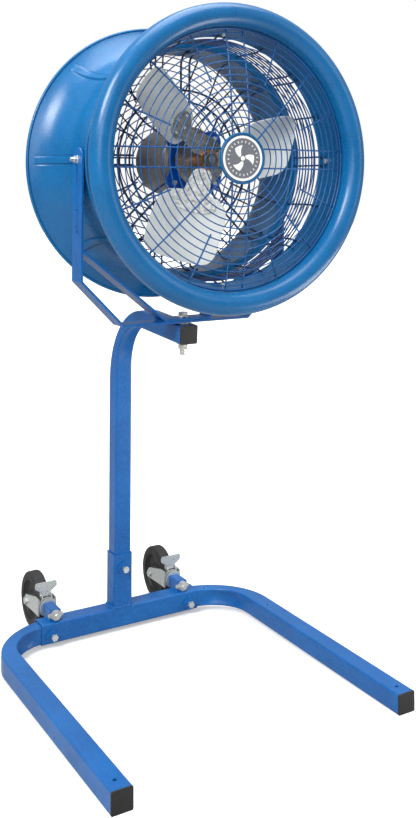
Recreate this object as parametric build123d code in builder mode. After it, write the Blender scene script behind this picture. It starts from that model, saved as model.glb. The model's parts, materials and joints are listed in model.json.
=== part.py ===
from build123d import *
import math
import os

# Axial air mover: a barrel fan in a tilting, swivelling yoke on a goose-neck
# pedestal with two rear casters. Millimetres, +Z up. The origin is on the
# mast axis in the plane of the legs' undersides; air leaves towards -Y.

os.makedirs("parts", exist_ok=True)

SIDES = (("left", -1), ("right", 1))    # part name ending and sign of X
RUN = 0.05                              # radial running clearance
CUT_HALF = 60.0                         # half length of a cut along Y through the stand
WIDE_CUT_HALF = 260.0                   # half length of a cut along X through the fan head

# ---------------------------------------------------------------- stand
TUBE = 40.0                     # leg and mast tube, square
TUBE_WALL = 2.5
TUBE_CORNER = 3.5
# outer body, then bore: (growth of the half-thickness, mode)
TUBE_PASSES = ((0.0, Mode.ADD), (-TUBE_WALL, Mode.SUBTRACT))
BORE_BEND_EASE = 3.0            # extra radius on the inner bend of the bore
SLEEVE = 46.0                   # crossbar and socket tube, square
SLEEVE_CORNER = 4.5
SLEEVE_BORE = 40.6
BORE_CORNER = 3.6
SLEEVE_HALF = 197.0             # half length of the crossbar
CROSSBAR_TOP = TUBE / 2 + SLEEVE / 2
MOUTH_BORE = 43.6
MOUTH_DEPTH = 20.0
SOCKET_TOP = 166.0
LEG_X = 300.0                   # leg centre line
LEG_TIP_Y = -704.0              # front face of a leg cap
CAP_FLANGE = 3.0
CAP_CORNER = 3.0
CAP_EDGE = 1.2
LEG_END_Y = LEG_TIP_Y + CAP_FLANGE
LEG_OUT_R = 165.0               # bends flatten the tube: the arcs are not concentric
LEG_IN_R = 100.0
LEG_STUB_X = 62.0               # inner end of the leg inside the crossbar
ANCHOR_Y = -672.0               # floor anchor hole in each leg
ANCHOR_D = 8.0
MAST_FOOT_Z = 45.0
MAST_TOP_Z = 751.0
MAST_OUT_R = 181.0
MAST_IN_R = 110.0
ARM_DROP = 3.8                  # the goose-neck arm dips towards its tip, degrees
ARM_TIP_Y = -353.0
BOLT_D = 8.0
BOLT_HOLE = 8.4
BOLT_HEX_R = 7.5                # corner radius of the M8 heads and nuts
LEG_BOLT_X = 172.0
LEG_BOLT_Z = TUBE / 2 - 4
SOCKET_BOLT_Z = 134.0
CLAMP_BOLTS = ((-LEG_BOLT_X, LEG_BOLT_Z), (LEG_BOLT_X, LEG_BOLT_Z), (0, SOCKET_BOLT_Z))
CLAMP_HEAD_Y = -36.0            # back face of the clamp bolt heads

# ---------------------------------------------------------------- casters
CASTER_X = 161.0
CASTER_TUBE = 25.0
CASTER_Z = CROSSBAR_TOP + CASTER_TUBE / 2    # axis of the caster tubes
CASTER_TUBE_Y0 = -10.0
CASTER_TUBE_Y1 = 36.0
STEM_R = 6.0
CROWN_Y = 43.5                  # front face of the fork's crown plate
CROWN_T = 3.0
CHEEK_X = 20.0                  # fork cheek centre plane from the caster's centre
CHEEK_T = 3.0
CHEEK_OUT = CHEEK_X + CHEEK_T / 2
WHEEL_R = 63.5
WHEEL_W = 30.0
HUB_HALF = 17.8
AXLE_Y = 127.0
AXLE_Z = 47.5
AXLE_D = 10.0
AXLE_HEX_R = 8.6
LUG_X = 11.0
LUG_T = 2.5
HINGE_Y = 56.0                  # brake lever hinge
HINGE_Z = CASTER_Z + 23
HINGE_PIN_R = 2.5

# ---------------------------------------------------------------- yoke
PAN_Y = -325.6
FAN_Z = 1085.4
BAR_W = 50.0
BAR_T = 5.0
ARM_IN = 234.6                  # inner faces of the yoke arms
ARM_OUT = ARM_IN + BAR_T
ARM_TOP = FAN_Z + BAR_W / 2
BAR_Z = 744.0                   # underside of the bottom bar
BAR_HALF = 147.5
ARM_Z = 839.0                   # where the diagonals meet the arms
BRACE_FOOT_X = 52.0
BRACE_FOOT_Z = BAR_Z + BAR_T
BRACE_TOP_Z = 898.0
BRACE_INSET = 1.0               # brace edges inside the yoke's edges
PAN_BOLT_R = 6.35
PAN_HEX_R = 11.0
PAN_SEAT_Z = BRACE_FOOT_Z + BAR_T
PAN_WASHER_R = 13.5
PAN_WASHER_BORE_R = 6.45
PAN_WASHER_T = 2.0
PAN_NUT_DROP = 3.2              # top of the pan nut below the arm's underside
TILT_BOLT_R = 4.0
TILT_HOLE_R = TILT_BOLT_R + RUN

# ---------------------------------------------------------------- fan head
# A station is the distance behind the discharge lip along the fan axis.
LIP_Y = -577.2                  # plane of the discharge lip
SHEET = 1.5
THROAT_R = 232.25               # mid-surface of the drum throat
THROAT_IN_R = THROAT_R - SHEET / 2
THROAT_OUT_R = THROAT_R + SHEET / 2
DRUM_S0 = 186.0
DRUM_S1 = 384.0
FLARE_S0 = 284.0                # station where the drum starts to flare
FLARE_LENGTH = 105.0            # half-axes of the flare's quarter ellipse
FLARE_HEIGHT = 94.0
BELL_BOLT_S = 77.0
CAGE_R = 241.6
BASKET_S = 246.0
QUARTERS = (0, 90, 180, 270)    # angles round the fan axis, degrees
ROD_STEP = 22.5
GUARD_PITCH = 14.0              # radial pitch of the front guard rings
REAR_PITCH = 15.0

MOTOR_R = 72.0
CAN_IN_R = MOTOR_R - 3
CAN_S0 = 222.0
CAN_S1 = 338.0
SHOULDER_IN_R = MOTOR_R - 8     # inner radius of the shield spigots
SPIGOT_R = MOTOR_R - 3.02
BEARING_R = 17.5
SHAFT_D = 15.88
SHAFT_R = SHAFT_D / 2
PLATE_S = 205.2                 # rear face of the motor plate
PLATE_T = 3.0
MOTOR_BOLT_CIRCLE_R = 66.0
GLAND_S = 318.0
GLAND_BORE_R = 5.2

BLADE_PHI = (10.0, 130.0, 250.0)
PITCH = -34.0
BLADE_S = 146.0                 # station where the blade planes cross the axis
BLADE_T = 2.0
PAD_R = 92.0
PAD_T = 3.0
RIVET_R = 4.0
RIVET_T = 1.4
HUB_SCREW_S = 190.0

HEAD = Plane(origin=(0, LIP_Y, FAN_Z), x_dir=(0, 1, 0), z_dir=(1, 0, 0))
HEAD_AXIS = Axis((0, LIP_Y, FAN_Z), (0, 1, 0))


# ---------------------------------------------------------------- helpers
def save(builder, name):
    """Label the built part and write its STEP file."""
    builder.part.label = name
    export_step(builder.part, f"parts/{name}.step")


def ring(outer_r, bore_r):
    """Add a disc with a bore to the open sketch."""
    Circle(outer_r)
    Circle(bore_r, mode=Mode.SUBTRACT)


def hex_ring(corner_r, bore_r):
    """Add a hexagon with a bore to the open sketch."""
    RegularPolygon(corner_r, 6)
    Circle(bore_r, mode=Mode.SUBTRACT)


def square_ring(size, corner, bore, bore_corner):
    """Add a square tube section to the open sketch."""
    RectangleRounded(size, size, corner)
    RectangleRounded(bore, bore, bore_corner, mode=Mode.SUBTRACT)


def mirrored(half):
    """Closed outline from its +x half, listed from one end of the centre line to the other."""
    return list(half) + [(-x, y) for x, y in reversed(half)]


def face_at(station):
    """Plane across the fan axis, facing forwards; local x is +X, local y is +Z."""
    return Plane(origin=(0, LIP_Y + station, FAN_Z), x_dir=(1, 0, 0), z_dir=(0, -1, 0))


def outward(station, phi):
    """Plane through the fan axis at a station whose normal points outwards at angle phi."""
    angle = math.radians(phi)
    return Plane(
        origin=(0, LIP_Y + station, FAN_Z),
        x_dir=(0, 1, 0),
        z_dir=(math.cos(angle), 0, math.sin(angle)),
    )


def polar(station, radius, phi, shift=0.0):
    """Point at a station and radius at angle phi, shifted sideways."""
    angle = math.radians(phi)
    return (
        radius * math.cos(angle) - shift * math.sin(angle),
        LIP_Y + station,
        FAN_Z + radius * math.sin(angle) + shift * math.cos(angle),
    )


def rod_places(half_gap):
    """(number, angle, sideways shift) of 16 rod places: even ones hold a pair."""
    return [
        (i, i * ROD_STEP, shift)
        for i in range(16)
        for shift in ((-half_gap, half_gap) if i % 2 == 0 else (0.0,))
    ]


def spoke(surface, offset, radii, phi, shift=0.0):
    """Points of a guard spoke lying offset behind the surface station(radius)."""
    return [
        polar(surface(r) + offset, math.sqrt(r * r - shift * shift), phi, shift) for r in radii
    ]


def tilt_plane(hand):
    """Plane on the tilt axis that faces outwards on the given side."""
    return Plane(origin=(0, PAN_Y, FAN_Z), x_dir=(0, 1, 0), z_dir=(hand, 0, 0))


def blade_plane(phi):
    """Mid-plane of a blade's pad: local x outwards, normal towards the front."""
    angle = math.radians(phi)
    pitch = math.radians(PITCH)
    out = Vector(math.cos(angle), 0, math.sin(angle))
    around = Vector(-math.sin(angle), 0, math.cos(angle))
    chord = around * math.cos(pitch) + Vector(0, 1, 0) * math.sin(pitch)
    return Plane(
        origin=Vector(0, LIP_Y + BLADE_S, FAN_Z), x_dir=out, z_dir=out.cross(chord)
    )


def save_turned(name, points):
    """Turn a closed outline of (station, radius) round the fan axis and save it."""
    with BuildPart() as turned:
        with BuildSketch(HEAD):
            with BuildLine():
                Polyline(*points, close=True)
            make_face()
        revolve(axis=HEAD_AXIS)
    save(turned, name)


# =============================================================== STAND
# crossbar: square sleeve, with eased mouths and the cross bolt holes
with BuildPart() as crossbar:
    with BuildSketch(Plane.YZ.offset(-SLEEVE_HALF)):
        with Locations((0, TUBE / 2)):
            square_ring(SLEEVE, SLEEVE_CORNER, SLEEVE_BORE, BORE_CORNER)
    extrude(amount=2 * SLEEVE_HALF)
    for mouth_x in (-SLEEVE_HALF, SLEEVE_HALF - MOUTH_DEPTH):
        with BuildSketch(Plane.YZ.offset(mouth_x)):
            with Locations((0, TUBE / 2)):
                RectangleRounded(MOUTH_BORE, MOUTH_BORE, BORE_CORNER)
        extrude(amount=MOUTH_DEPTH, mode=Mode.SUBTRACT)
    with BuildSketch(Plane.XZ.offset(-CUT_HALF)):
        with Locations((-LEG_BOLT_X, LEG_BOLT_Z), (LEG_BOLT_X, LEG_BOLT_Z)):
            Circle(BOLT_HOLE / 2)
    extrude(amount=2 * CUT_HALF, mode=Mode.SUBTRACT)
save(crossbar, "crossbar")

# mast socket: square tube upright on the crossbar
with BuildPart() as mast_socket:
    with BuildSketch(Plane.XY.offset(CROSSBAR_TOP)):
        square_ring(SLEEVE, SLEEVE_CORNER, SLEEVE_BORE, BORE_CORNER)
    extrude(amount=SOCKET_TOP - CROSSBAR_TOP)
    with BuildSketch(Plane.XZ.offset(-CUT_HALF)):
        with Locations((0, SOCKET_BOLT_Z)):
            Circle(BOLT_HOLE / 2)
    extrude(amount=2 * CUT_HALF, mode=Mode.SUBTRACT)
save(mast_socket, "mast_socket")

# weld nuts: square nuts set cornerwise on the front faces, one per clamp bolt
with BuildPart() as weld_nuts:
    for spot in CLAMP_BOLTS:
        with BuildSketch(Plane.XZ.offset(SLEEVE / 2)):
            with Locations(spot):
                RectangleRounded(24, 24, 2.0, rotation=45)
                Circle(BOLT_D / 2 + RUN, mode=Mode.SUBTRACT)
        extrude(amount=6)
save(weld_nuts, "weld_nuts")

# clamp bolts: heads in front, shanks right through sleeve and inner tube
with BuildPart() as clamp_bolts:
    for spot in CLAMP_BOLTS:
        with BuildSketch(Plane.XZ.offset(-CLAMP_HEAD_Y)):
            with Locations(spot):
                RegularPolygon(BOLT_HEX_R, 6)
        extrude(amount=5.5)
        with BuildSketch(Plane.XZ.offset(-CLAMP_HEAD_Y)):
            with Locations(spot):
                Circle(BOLT_D / 2)
        extrude(amount=-70)
    chamfer(clamp_bolts.edges().filter_by(GeomType.CIRCLE).sort_by(Axis.Y)[-3:], 1.0)
save(clamp_bolts, "clamp_bolts")

with BuildPart() as clamp_bolt_nuts:
    for spot in CLAMP_BOLTS:
        with BuildSketch(Plane.XZ.offset(-SLEEVE / 2)):
            with Locations(spot):
                hex_ring(BOLT_HEX_R, BOLT_D / 2 + RUN)
        extrude(amount=-6.5)
save(clamp_bolt_nuts, "clamp_bolt_nuts")

# legs: square tube bent forwards out of the crossbar; the bore overruns both ends
DIAGONAL = math.sqrt(0.5)
for side_name, hand in SIDES:
    with BuildPart() as leg:
        for grow, mode in TUBE_PASSES:
            half = TUBE / 2 + grow
            out_r = LEG_OUT_R + grow
            in_r = LEG_IN_R - grow + (BORE_BEND_EASE if grow else 0.0)
            out_centre = (LEG_X + TUBE / 2 - LEG_OUT_R, TUBE / 2 - LEG_OUT_R)
            in_centre = (LEG_X - half - in_r, -half - in_r)
            stub_x = LEG_STUB_X - (1 if grow else 0)
            tip_y = LEG_END_Y - (1 if grow else 0)
            with BuildSketch(Plane.XY.offset(TUBE / 2 - half)):
                with BuildLine():
                    Polyline(
                        (hand * in_centre[0], -half),
                        (hand * stub_x, -half),
                        (hand * stub_x, half),
                        (hand * out_centre[0], half),
                    )
                    ThreePointArc(
                        (hand * out_centre[0], half),
                        (
                            hand * (out_centre[0] + out_r * DIAGONAL),
                            out_centre[1] + out_r * DIAGONAL,
                        ),
                        (hand * (LEG_X + half), out_centre[1]),
                    )
                    Polyline(
                        (hand * (LEG_X + half), out_centre[1]),
                        (hand * (LEG_X + half), tip_y),
                        (hand * (LEG_X - half), tip_y),
                        (hand * (LEG_X - half), in_centre[1]),
                    )
                    ThreePointArc(
                        (hand * (LEG_X - half), in_centre[1]),
                        (
                            hand * (in_centre[0] + in_r * DIAGONAL),
                            in_centre[1] + in_r * DIAGONAL,
                        ),
                        (hand * in_centre[0], -half),
                    )
                make_face()
            extrude(amount=2 * half, mode=mode)
            if grow == 0.0:
                # round the tube's long corners, not its end faces
                flat_edges = leg.edges().filter_by(
                    lambda e: abs(e.center().Z) < 0.01 or abs(e.center().Z - TUBE) < 0.01
                )
                long_edges = [
                    e for e in flat_edges
                    if abs(abs(e.center().X) - LEG_STUB_X) >= 0.01
                    and abs(e.center().Y - tip_y) >= 0.01
                ]
                fillet(long_edges, TUBE_CORNER)
        # floor anchor hole and clamp bolt hole
        with BuildSketch(Plane.XY.offset(-1)):
            with Locations((hand * LEG_X, ANCHOR_Y)):
                Circle(ANCHOR_D / 2)
        extrude(amount=TUBE + 2, mode=Mode.SUBTRACT)
        with BuildSketch(Plane.XZ.offset(-CUT_HALF)):
            with Locations((hand * LEG_BOLT_X, LEG_BOLT_Z)):
                Circle(BOLT_HOLE / 2)
        extrude(amount=2 * CUT_HALF, mode=Mode.SUBTRACT)
    save(leg, f"leg_{side_name}")

# leg plugs: flange over each leg's end, ribbed stem inside it
with BuildPart() as leg_caps:
    for _, hand in SIDES:
        with BuildSketch(Plane.XZ.offset(-LEG_END_Y)):
            with Locations((hand * LEG_X, TUBE / 2)):
                RectangleRounded(TUBE, TUBE, CAP_CORNER)
        extrude(amount=CAP_FLANGE)
        with BuildSketch(Plane.XZ.offset(-LEG_END_Y)):
            with Locations((hand * LEG_X, TUBE / 2)):
                square_ring(32, 2, 27, 1.5)
        extrude(amount=-18)
        for rib_depth in (5, 12):
            with BuildSketch(Plane.XZ.offset(-LEG_END_Y - rib_depth)):
                with Locations((hand * LEG_X, TUBE / 2)):
                    square_ring(34.8, 2, 31, 1.5)
            extrude(amount=-1.6)
    fillet(leg_caps.edges().filter_by(lambda e: abs(e.center().Y - LEG_TIP_Y) < 0.01), CAP_EDGE)
save(leg_caps, "leg_caps")

# mast: goose-neck tube, drawn as its side profile in (y, z) and extruded
DROP = math.radians(ARM_DROP)


def mast_outline(grow, tip_y):
    """Arc centres, radii and corner points of the mast's side outline."""
    half = TUBE / 2 + grow
    out_r = MAST_OUT_R + grow
    in_r = MAST_IN_R - grow + (BORE_BEND_EASE if grow else 0.0)
    out_centre = (TUBE / 2 - MAST_OUT_R, MAST_TOP_Z - MAST_OUT_R)
    up = (math.sin(-DROP), math.cos(DROP))              # arm's upward normal
    along = (-math.cos(DROP), -math.sin(DROP))          # arm's direction
    # the inner arc ends on the arm's underside, a tube's depth below the top
    in_y = -half - in_r
    depth = up[0] * out_centre[0] + up[1] * out_centre[1] + out_r - 2 * half - in_r
    in_centre = (in_y, (depth - up[0] * in_y) / up[1])
    out_end = (out_centre[0] + out_r * up[0], out_centre[1] + out_r * up[1])
    in_end = (in_centre[0] + in_r * up[0], in_centre[1] + in_r * up[1])
    # the arm keeps its thickness from the tangent point of the outer arc
    length = (out_end[0] - tip_y) / math.cos(DROP)
    out_tip = (out_end[0] + along[0] * length, out_end[1] + along[1] * length)
    in_tip = (out_tip[0] - up[0] * 2 * half, out_tip[1] - up[1] * 2 * half)
    return out_centre, out_r, out_end, out_tip, in_tip, in_end, in_centre, in_r


MID_BEND = math.radians(45 + ARM_DROP / 2)
with BuildPart() as mast:
    for grow, mode in TUBE_PASSES:
        half = TUBE / 2 + grow
        foot_z = MAST_FOOT_Z - (1 if grow else 0)
        out_centre, out_r, out_end, out_tip, in_tip, in_end, in_centre, in_r = mast_outline(
            grow, ARM_TIP_Y - (2 if grow else 0)
        )
        with BuildSketch(Plane.YZ.offset(-half)):
            with BuildLine():
                Polyline(
                    (-half, in_centre[1]), (-half, foot_z), (half, foot_z), (half, out_centre[1])
                )
                ThreePointArc(
                    (half, out_centre[1]),
                    (
                        out_centre[0] + out_r * math.cos(MID_BEND),
                        out_centre[1] + out_r * math.sin(MID_BEND),
                    ),
                    out_end,
                )
                Polyline(out_end, out_tip, in_tip, in_end)
                ThreePointArc(
                    in_end,
                    (
                        in_centre[0] + in_r * math.cos(MID_BEND),
                        in_centre[1] + in_r * math.sin(MID_BEND),
                    ),
                    (-half, in_centre[1]),
                )
            make_face()
        extrude(amount=2 * half, mode=mode)
        if grow == 0.0:
            side_edges = mast.edges().filter_by(
                lambda e: abs(abs(e.center().X) - TUBE / 2) < 0.01
            )
            long_edges = [
                e for e in side_edges
                if e.center().Z > foot_z + 1 and e.center().Y > ARM_TIP_Y + 6
            ]
            fillet(long_edges, TUBE_CORNER)
    with BuildSketch(Plane.XZ.offset(-CUT_HALF)):
        with Locations((0, SOCKET_BOLT_Z)):
            Circle(BOLT_HOLE / 2)
    extrude(amount=2 * CUT_HALF, mode=Mode.SUBTRACT)
    with BuildSketch(Plane.XY.offset(670)):
        with Locations((0, PAN_Y)):
            Circle(6.6)
    extrude(amount=100, mode=Mode.SUBTRACT)
save(mast, "mast")

_, _, arm_top, top_tip, low_tip, *_ = mast_outline(0.0, ARM_TIP_Y)
ARM_END = Plane(
    origin=(0, (top_tip[0] + low_tip[0]) / 2, (top_tip[1] + low_tip[1]) / 2),
    x_dir=(1, 0, 0),
    z_dir=(0, -math.cos(DROP), -math.sin(DROP)),
)
# height of the arm's top and bottom faces on the pan axis
TOP_Z = arm_top[1] - (arm_top[0] - PAN_Y) * math.tan(DROP)
LOW_Z = TOP_Z - TUBE / math.cos(DROP)

# mast plug: flange over the arm's tip, hollow stem inside it
with BuildPart() as mast_cap:
    with BuildSketch(ARM_END):
        RectangleRounded(TUBE, TUBE, CAP_CORNER)
    extrude(amount=CAP_FLANGE)
    fillet(mast_cap.faces().sort_by(Axis.Y)[0].edges(), CAP_EDGE)
    with BuildSketch(ARM_END):
        square_ring(34.6, 2, 29, 1.5)
    extrude(amount=-12)
save(mast_cap, "mast_cap")

# pan bolt: 1/2 in hex bolt down through brace, yoke and arm
PAN_BOLT_TIP_Z = LOW_Z - 27
with BuildPart() as pan_bolt:
    with BuildSketch(Plane.XY.offset(PAN_SEAT_Z + PAN_WASHER_T)):
        with Locations((0, PAN_Y)):
            RegularPolygon(PAN_HEX_R, 6)
    extrude(amount=8)
    with BuildSketch(Plane.XY.offset(PAN_BOLT_TIP_Z)):
        with Locations((0, PAN_Y)):
            Circle(PAN_BOLT_R)
    extrude(amount=PAN_SEAT_Z + PAN_WASHER_T + 1.0 - PAN_BOLT_TIP_Z)
    chamfer(pan_bolt.edges().filter_by(GeomType.CIRCLE).sort_by(Axis.Z)[0], 1.0)
save(pan_bolt, "pan_bolt")

# washers: under the head, a wedge-faced seat between yoke and arm, and one under the arm
with BuildPart() as pan_washers:
    with BuildSketch(Plane.XY.offset(PAN_SEAT_Z)):
        with Locations((0, PAN_Y)):
            ring(PAN_WASHER_R, PAN_WASHER_BORE_R)
    extrude(amount=PAN_WASHER_T)
    with BuildSketch(Plane.XY.offset(TOP_Z - 3)):
        with Locations((0, PAN_Y)):
            ring(14.5, 6.7)
    extrude(amount=BAR_Z - 0.05 - (TOP_Z - 3))
    with BuildSketch(Plane.XY.offset(LOW_Z - PAN_NUT_DROP)):
        with Locations((0, PAN_Y)):
            ring(PAN_WASHER_R, PAN_WASHER_BORE_R)
    extrude(amount=4.6)
    # cut the arm's sloping slab away, so the seats follow its slope
    slab_half = 60
    rise = slab_half * math.tan(DROP)
    with BuildSketch(Plane.YZ.offset(-30)):
        with BuildLine():
            Polyline(
                (PAN_Y - slab_half, TOP_Z - rise),
                (PAN_Y + slab_half, TOP_Z + rise),
                (PAN_Y + slab_half, LOW_Z + rise),
                (PAN_Y - slab_half, LOW_Z - rise),
                close=True,
            )
        make_face()
    extrude(amount=60, mode=Mode.SUBTRACT)
save(pan_washers, "pan_washers")

with BuildPart() as pan_nut:
    with BuildSketch(Plane.XY.offset(LOW_Z - PAN_NUT_DROP)):
        with Locations((0, PAN_Y)):
            hex_ring(PAN_HEX_R, PAN_BOLT_R + RUN)
    extrude(amount=-11)
save(pan_nut, "pan_nut")

# =============================================================== CASTERS
# fork cheek outline, (y, z)
CHEEK_OUTLINE = (
    (CROWN_Y, CASTER_Z + 19), (CROWN_Y, CASTER_Z - 19), (62, CASTER_Z - 18),
    (AXLE_Y + 4, AXLE_Z - 12), (AXLE_Y + 13, AXLE_Z - 5),
    (AXLE_Y + 13, AXLE_Z + 5), (AXLE_Y + 4, AXLE_Z + 13), (66, CASTER_Z + 20),
)
# hinge lug outline, (y, z)
LUG_OUTLINE = (
    (CROWN_Y, CASTER_Z + 12), (CROWN_Y + CROWN_T, CASTER_Z + 12), (62, CASTER_Z + 19),
    (62, CASTER_Z + 29), (50, CASTER_Z + 29), (CROWN_Y, CASTER_Z + 20.9),
)
# right half of the hub's section, (distance along the axle, radius)
HUB_HALF_OUTLINE = (
    (HUB_HALF, AXLE_D / 2 + RUN), (HUB_HALF, 14), (11, 18), (6, 22), (6, 40), (12, 44), (12, 49),
)
# right half of the brake lever, (x from the caster's centre, z above its axis)
LEVER_HALF_OUTLINE = ((9, 23), (9.4, 30), (14, 33), (26, 41), (26, 54))

for side_name, hand in SIDES:
    caster_x = hand * CASTER_X
    # short square tube lying on the crossbar, fore and aft
    with BuildPart() as caster_tube:
        with BuildSketch(Plane.XZ.offset(-CASTER_TUBE_Y0)):
            with Locations((caster_x, CASTER_Z)):
                RectangleRounded(CASTER_TUBE, CASTER_TUBE, 3.5)
                Circle(STEM_R + 0.3, mode=Mode.SUBTRACT)
        extrude(amount=CASTER_TUBE_Y0 - CASTER_TUBE_Y1)
    save(caster_tube, f"caster_tube_{side_name}")

    # swivel fork: plate crown with two cheeks that reach back to the axle
    with BuildPart() as fork:
        with BuildSketch(Plane.XZ.offset(-CROWN_Y)):
            with Locations((caster_x, CASTER_Z)):
                ring(21.5, STEM_R + RUN)
        extrude(amount=-CROWN_T)
        for cheek in (-1, 1):
            with BuildSketch(Plane.YZ.offset(caster_x + cheek * CHEEK_X - CHEEK_T / 2)):
                with BuildLine():
                    Polyline(*CHEEK_OUTLINE, close=True)
                make_face()
                with Locations((AXLE_Y, AXLE_Z)):
                    Circle(AXLE_D / 2 + 0.02, mode=Mode.SUBTRACT)
            extrude(amount=CHEEK_T)
        # flat ring on the back of the crown
        with BuildSketch(Plane.XZ.offset(-CROWN_Y - CROWN_T)):
            with Locations((caster_x, CASTER_Z)):
                ring(17, STEM_R + RUN)
        extrude(amount=-2)
        # hinge lugs of the brake lever
        for lug in (-1, 1):
            with BuildSketch(Plane.YZ.offset(caster_x + lug * LUG_X - LUG_T / 2)):
                with BuildLine():
                    Polyline(*LUG_OUTLINE, close=True)
                make_face()
                with Locations((HINGE_Y, HINGE_Z)):
                    Circle(HINGE_PIN_R + 0.02, mode=Mode.SUBTRACT)
            extrude(amount=LUG_T)
    save(fork, f"caster_fork_{side_name}")

    # axle bolt with its head on the -X side, and its nut
    with BuildPart() as axle:
        with BuildSketch(Plane.YZ.offset(caster_x - CHEEK_OUT)):
            with Locations((AXLE_Y, AXLE_Z)):
                Circle(AXLE_D / 2)
        extrude(amount=52)
        with BuildSketch(Plane.YZ.offset(caster_x - CHEEK_OUT)):
            with Locations((AXLE_Y, AXLE_Z)):
                RegularPolygon(AXLE_HEX_R, 6)
        extrude(amount=-5)
        chamfer(axle.edges().filter_by(GeomType.CIRCLE).sort_by(Axis.X)[-1], 1.0)
        with BuildSketch(Plane.YZ.offset(caster_x + CHEEK_OUT)):
            with Locations((AXLE_Y, AXLE_Z)):
                hex_ring(AXLE_HEX_R, AXLE_D / 2 + 0.02)
        extrude(amount=6.5)
    save(axle, f"caster_axle_{side_name}")

    # wheel: hub with a bore, and a tread around it
    wheel_plane = Plane(origin=(caster_x, AXLE_Y, AXLE_Z), x_dir=(1, 0, 0), z_dir=(0, -1, 0))
    wheel_axis = Axis((caster_x, AXLE_Y, AXLE_Z), (1, 0, 0))
    with BuildPart() as hub:
        with BuildSketch(wheel_plane):
            with BuildLine():
                Polyline(*mirrored(HUB_HALF_OUTLINE), close=True)
            make_face()
        revolve(axis=wheel_axis)
    save(hub, f"caster_wheel_hub_{side_name}")

    with BuildPart() as tread:
        rim_x = WHEEL_W / 2
        with BuildSketch(wheel_plane):
            with BuildLine():
                Polyline(
                    (-12, 49), (12, 49), (12, 44), (rim_x - 0.5, 44), (rim_x, 47), (rim_x, 57)
                )
                ThreePointArc((rim_x, 57), (12, 62.2), (7, WHEEL_R))
                Line((7, WHEEL_R), (-7, WHEEL_R))
                ThreePointArc((-7, WHEEL_R), (-12, 62.2), (-rim_x, 57))
                Polyline(
                    (-rim_x, 57), (-rim_x, 47), (-rim_x + 0.5, 44), (-12, 44), (-12, 49)
                )
            make_face()
        revolve(axis=wheel_axis)
    save(tread, f"caster_wheel_tread_{side_name}")

    # brake lever: T-shaped tab with a hinge barrel
    with BuildPart() as lever:
        with BuildSketch(Plane.XZ.offset(-54.5)):
            with BuildLine():
                Polyline(
                    *[(caster_x + x, CASTER_Z + z) for x, z in mirrored(LEVER_HALF_OUTLINE)],
                    close=True,
                )
            make_face()
        extrude(amount=2.5)
        fillet(
            lever.edges().filter_by(Axis.Y).filter_by(lambda e: e.center().Z > CASTER_Z + 34), 5.5
        )
        with BuildSketch(Plane.YZ.offset(caster_x - 9)):
            with Locations((HINGE_Y, HINGE_Z)):
                Circle(4.4)
        extrude(amount=18)
        with BuildSketch(Plane.YZ.offset(caster_x - 10)):
            with Locations((HINGE_Y, HINGE_Z)):
                Circle(HINGE_PIN_R + RUN)
        extrude(amount=20, mode=Mode.SUBTRACT)
    save(lever, f"brake_lever_{side_name}")

    with BuildPart() as brake_pin:
        with BuildSketch(Plane.YZ.offset(caster_x - 13.5)):
            with Locations((HINGE_Y, HINGE_Z)):
                Circle(HINGE_PIN_R)
        extrude(amount=27)
    save(brake_pin, f"brake_pin_{side_name}")

# stems, each with two discs between the caster tube and the fork
with BuildPart() as caster_stems:
    for caster_x in (-CASTER_X, CASTER_X):
        # (start y, radius, length)
        for start_y, radius, length in (
            (-24, STEM_R, 82), (CASTER_TUBE_Y1, 19.0, 4), (CASTER_TUBE_Y1 + 4, 15.0, 3),
        ):
            with BuildSketch(Plane.XZ.offset(-start_y)):
                with Locations((caster_x, CASTER_Z)):
                    Circle(radius)
            extrude(amount=-length)
    chamfer(caster_stems.edges().filter_by(GeomType.CIRCLE).sort_by(Axis.Y)[:2], 1.0)
save(caster_stems, "caster_stems")

# stem nuts with their tab washers, on the front ends of the caster tubes
with BuildPart() as caster_stem_nuts:
    for caster_x in (-CASTER_X, CASTER_X):
        with BuildSketch(Plane.XZ.offset(-CASTER_TUBE_Y0)):
            with Locations((caster_x, CASTER_Z)):
                RectangleRounded(36, 9, 4)
                ring(11.5, STEM_R + RUN)
        extrude(amount=2)
        with BuildSketch(Plane.XZ.offset(-CASTER_TUBE_Y0 + 2)):
            with Locations((caster_x, CASTER_Z)):
                hex_ring(10.4, STEM_R + RUN)
        extrude(amount=9)
save(caster_stem_nuts, "caster_stem_nuts")

# retaining heads that hold the forks on the stems
with BuildPart() as caster_stem_heads:
    for caster_x in (-CASTER_X, CASTER_X):
        with BuildSketch(Plane.XZ.offset(-48.55)):
            with Locations((caster_x, CASTER_Z)):
                ring(10, STEM_R)
        extrude(amount=-4)
    rear_rims = caster_stem_heads.edges().filter_by(GeomType.CIRCLE).group_by(Axis.Y)[-1]
    fillet(rear_rims.filter_by(lambda e: e.radius > 8), 1.5)
save(caster_stem_heads, "caster_stem_heads")

# =============================================================== YOKE
YOKE_FRONT = Plane.XZ.offset(BAR_W / 2 - PAN_Y)
BEND_SHIFT = math.tan(math.radians(22.5)) * BAR_T    # inner corner shift at a 45 degree bend
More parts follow.
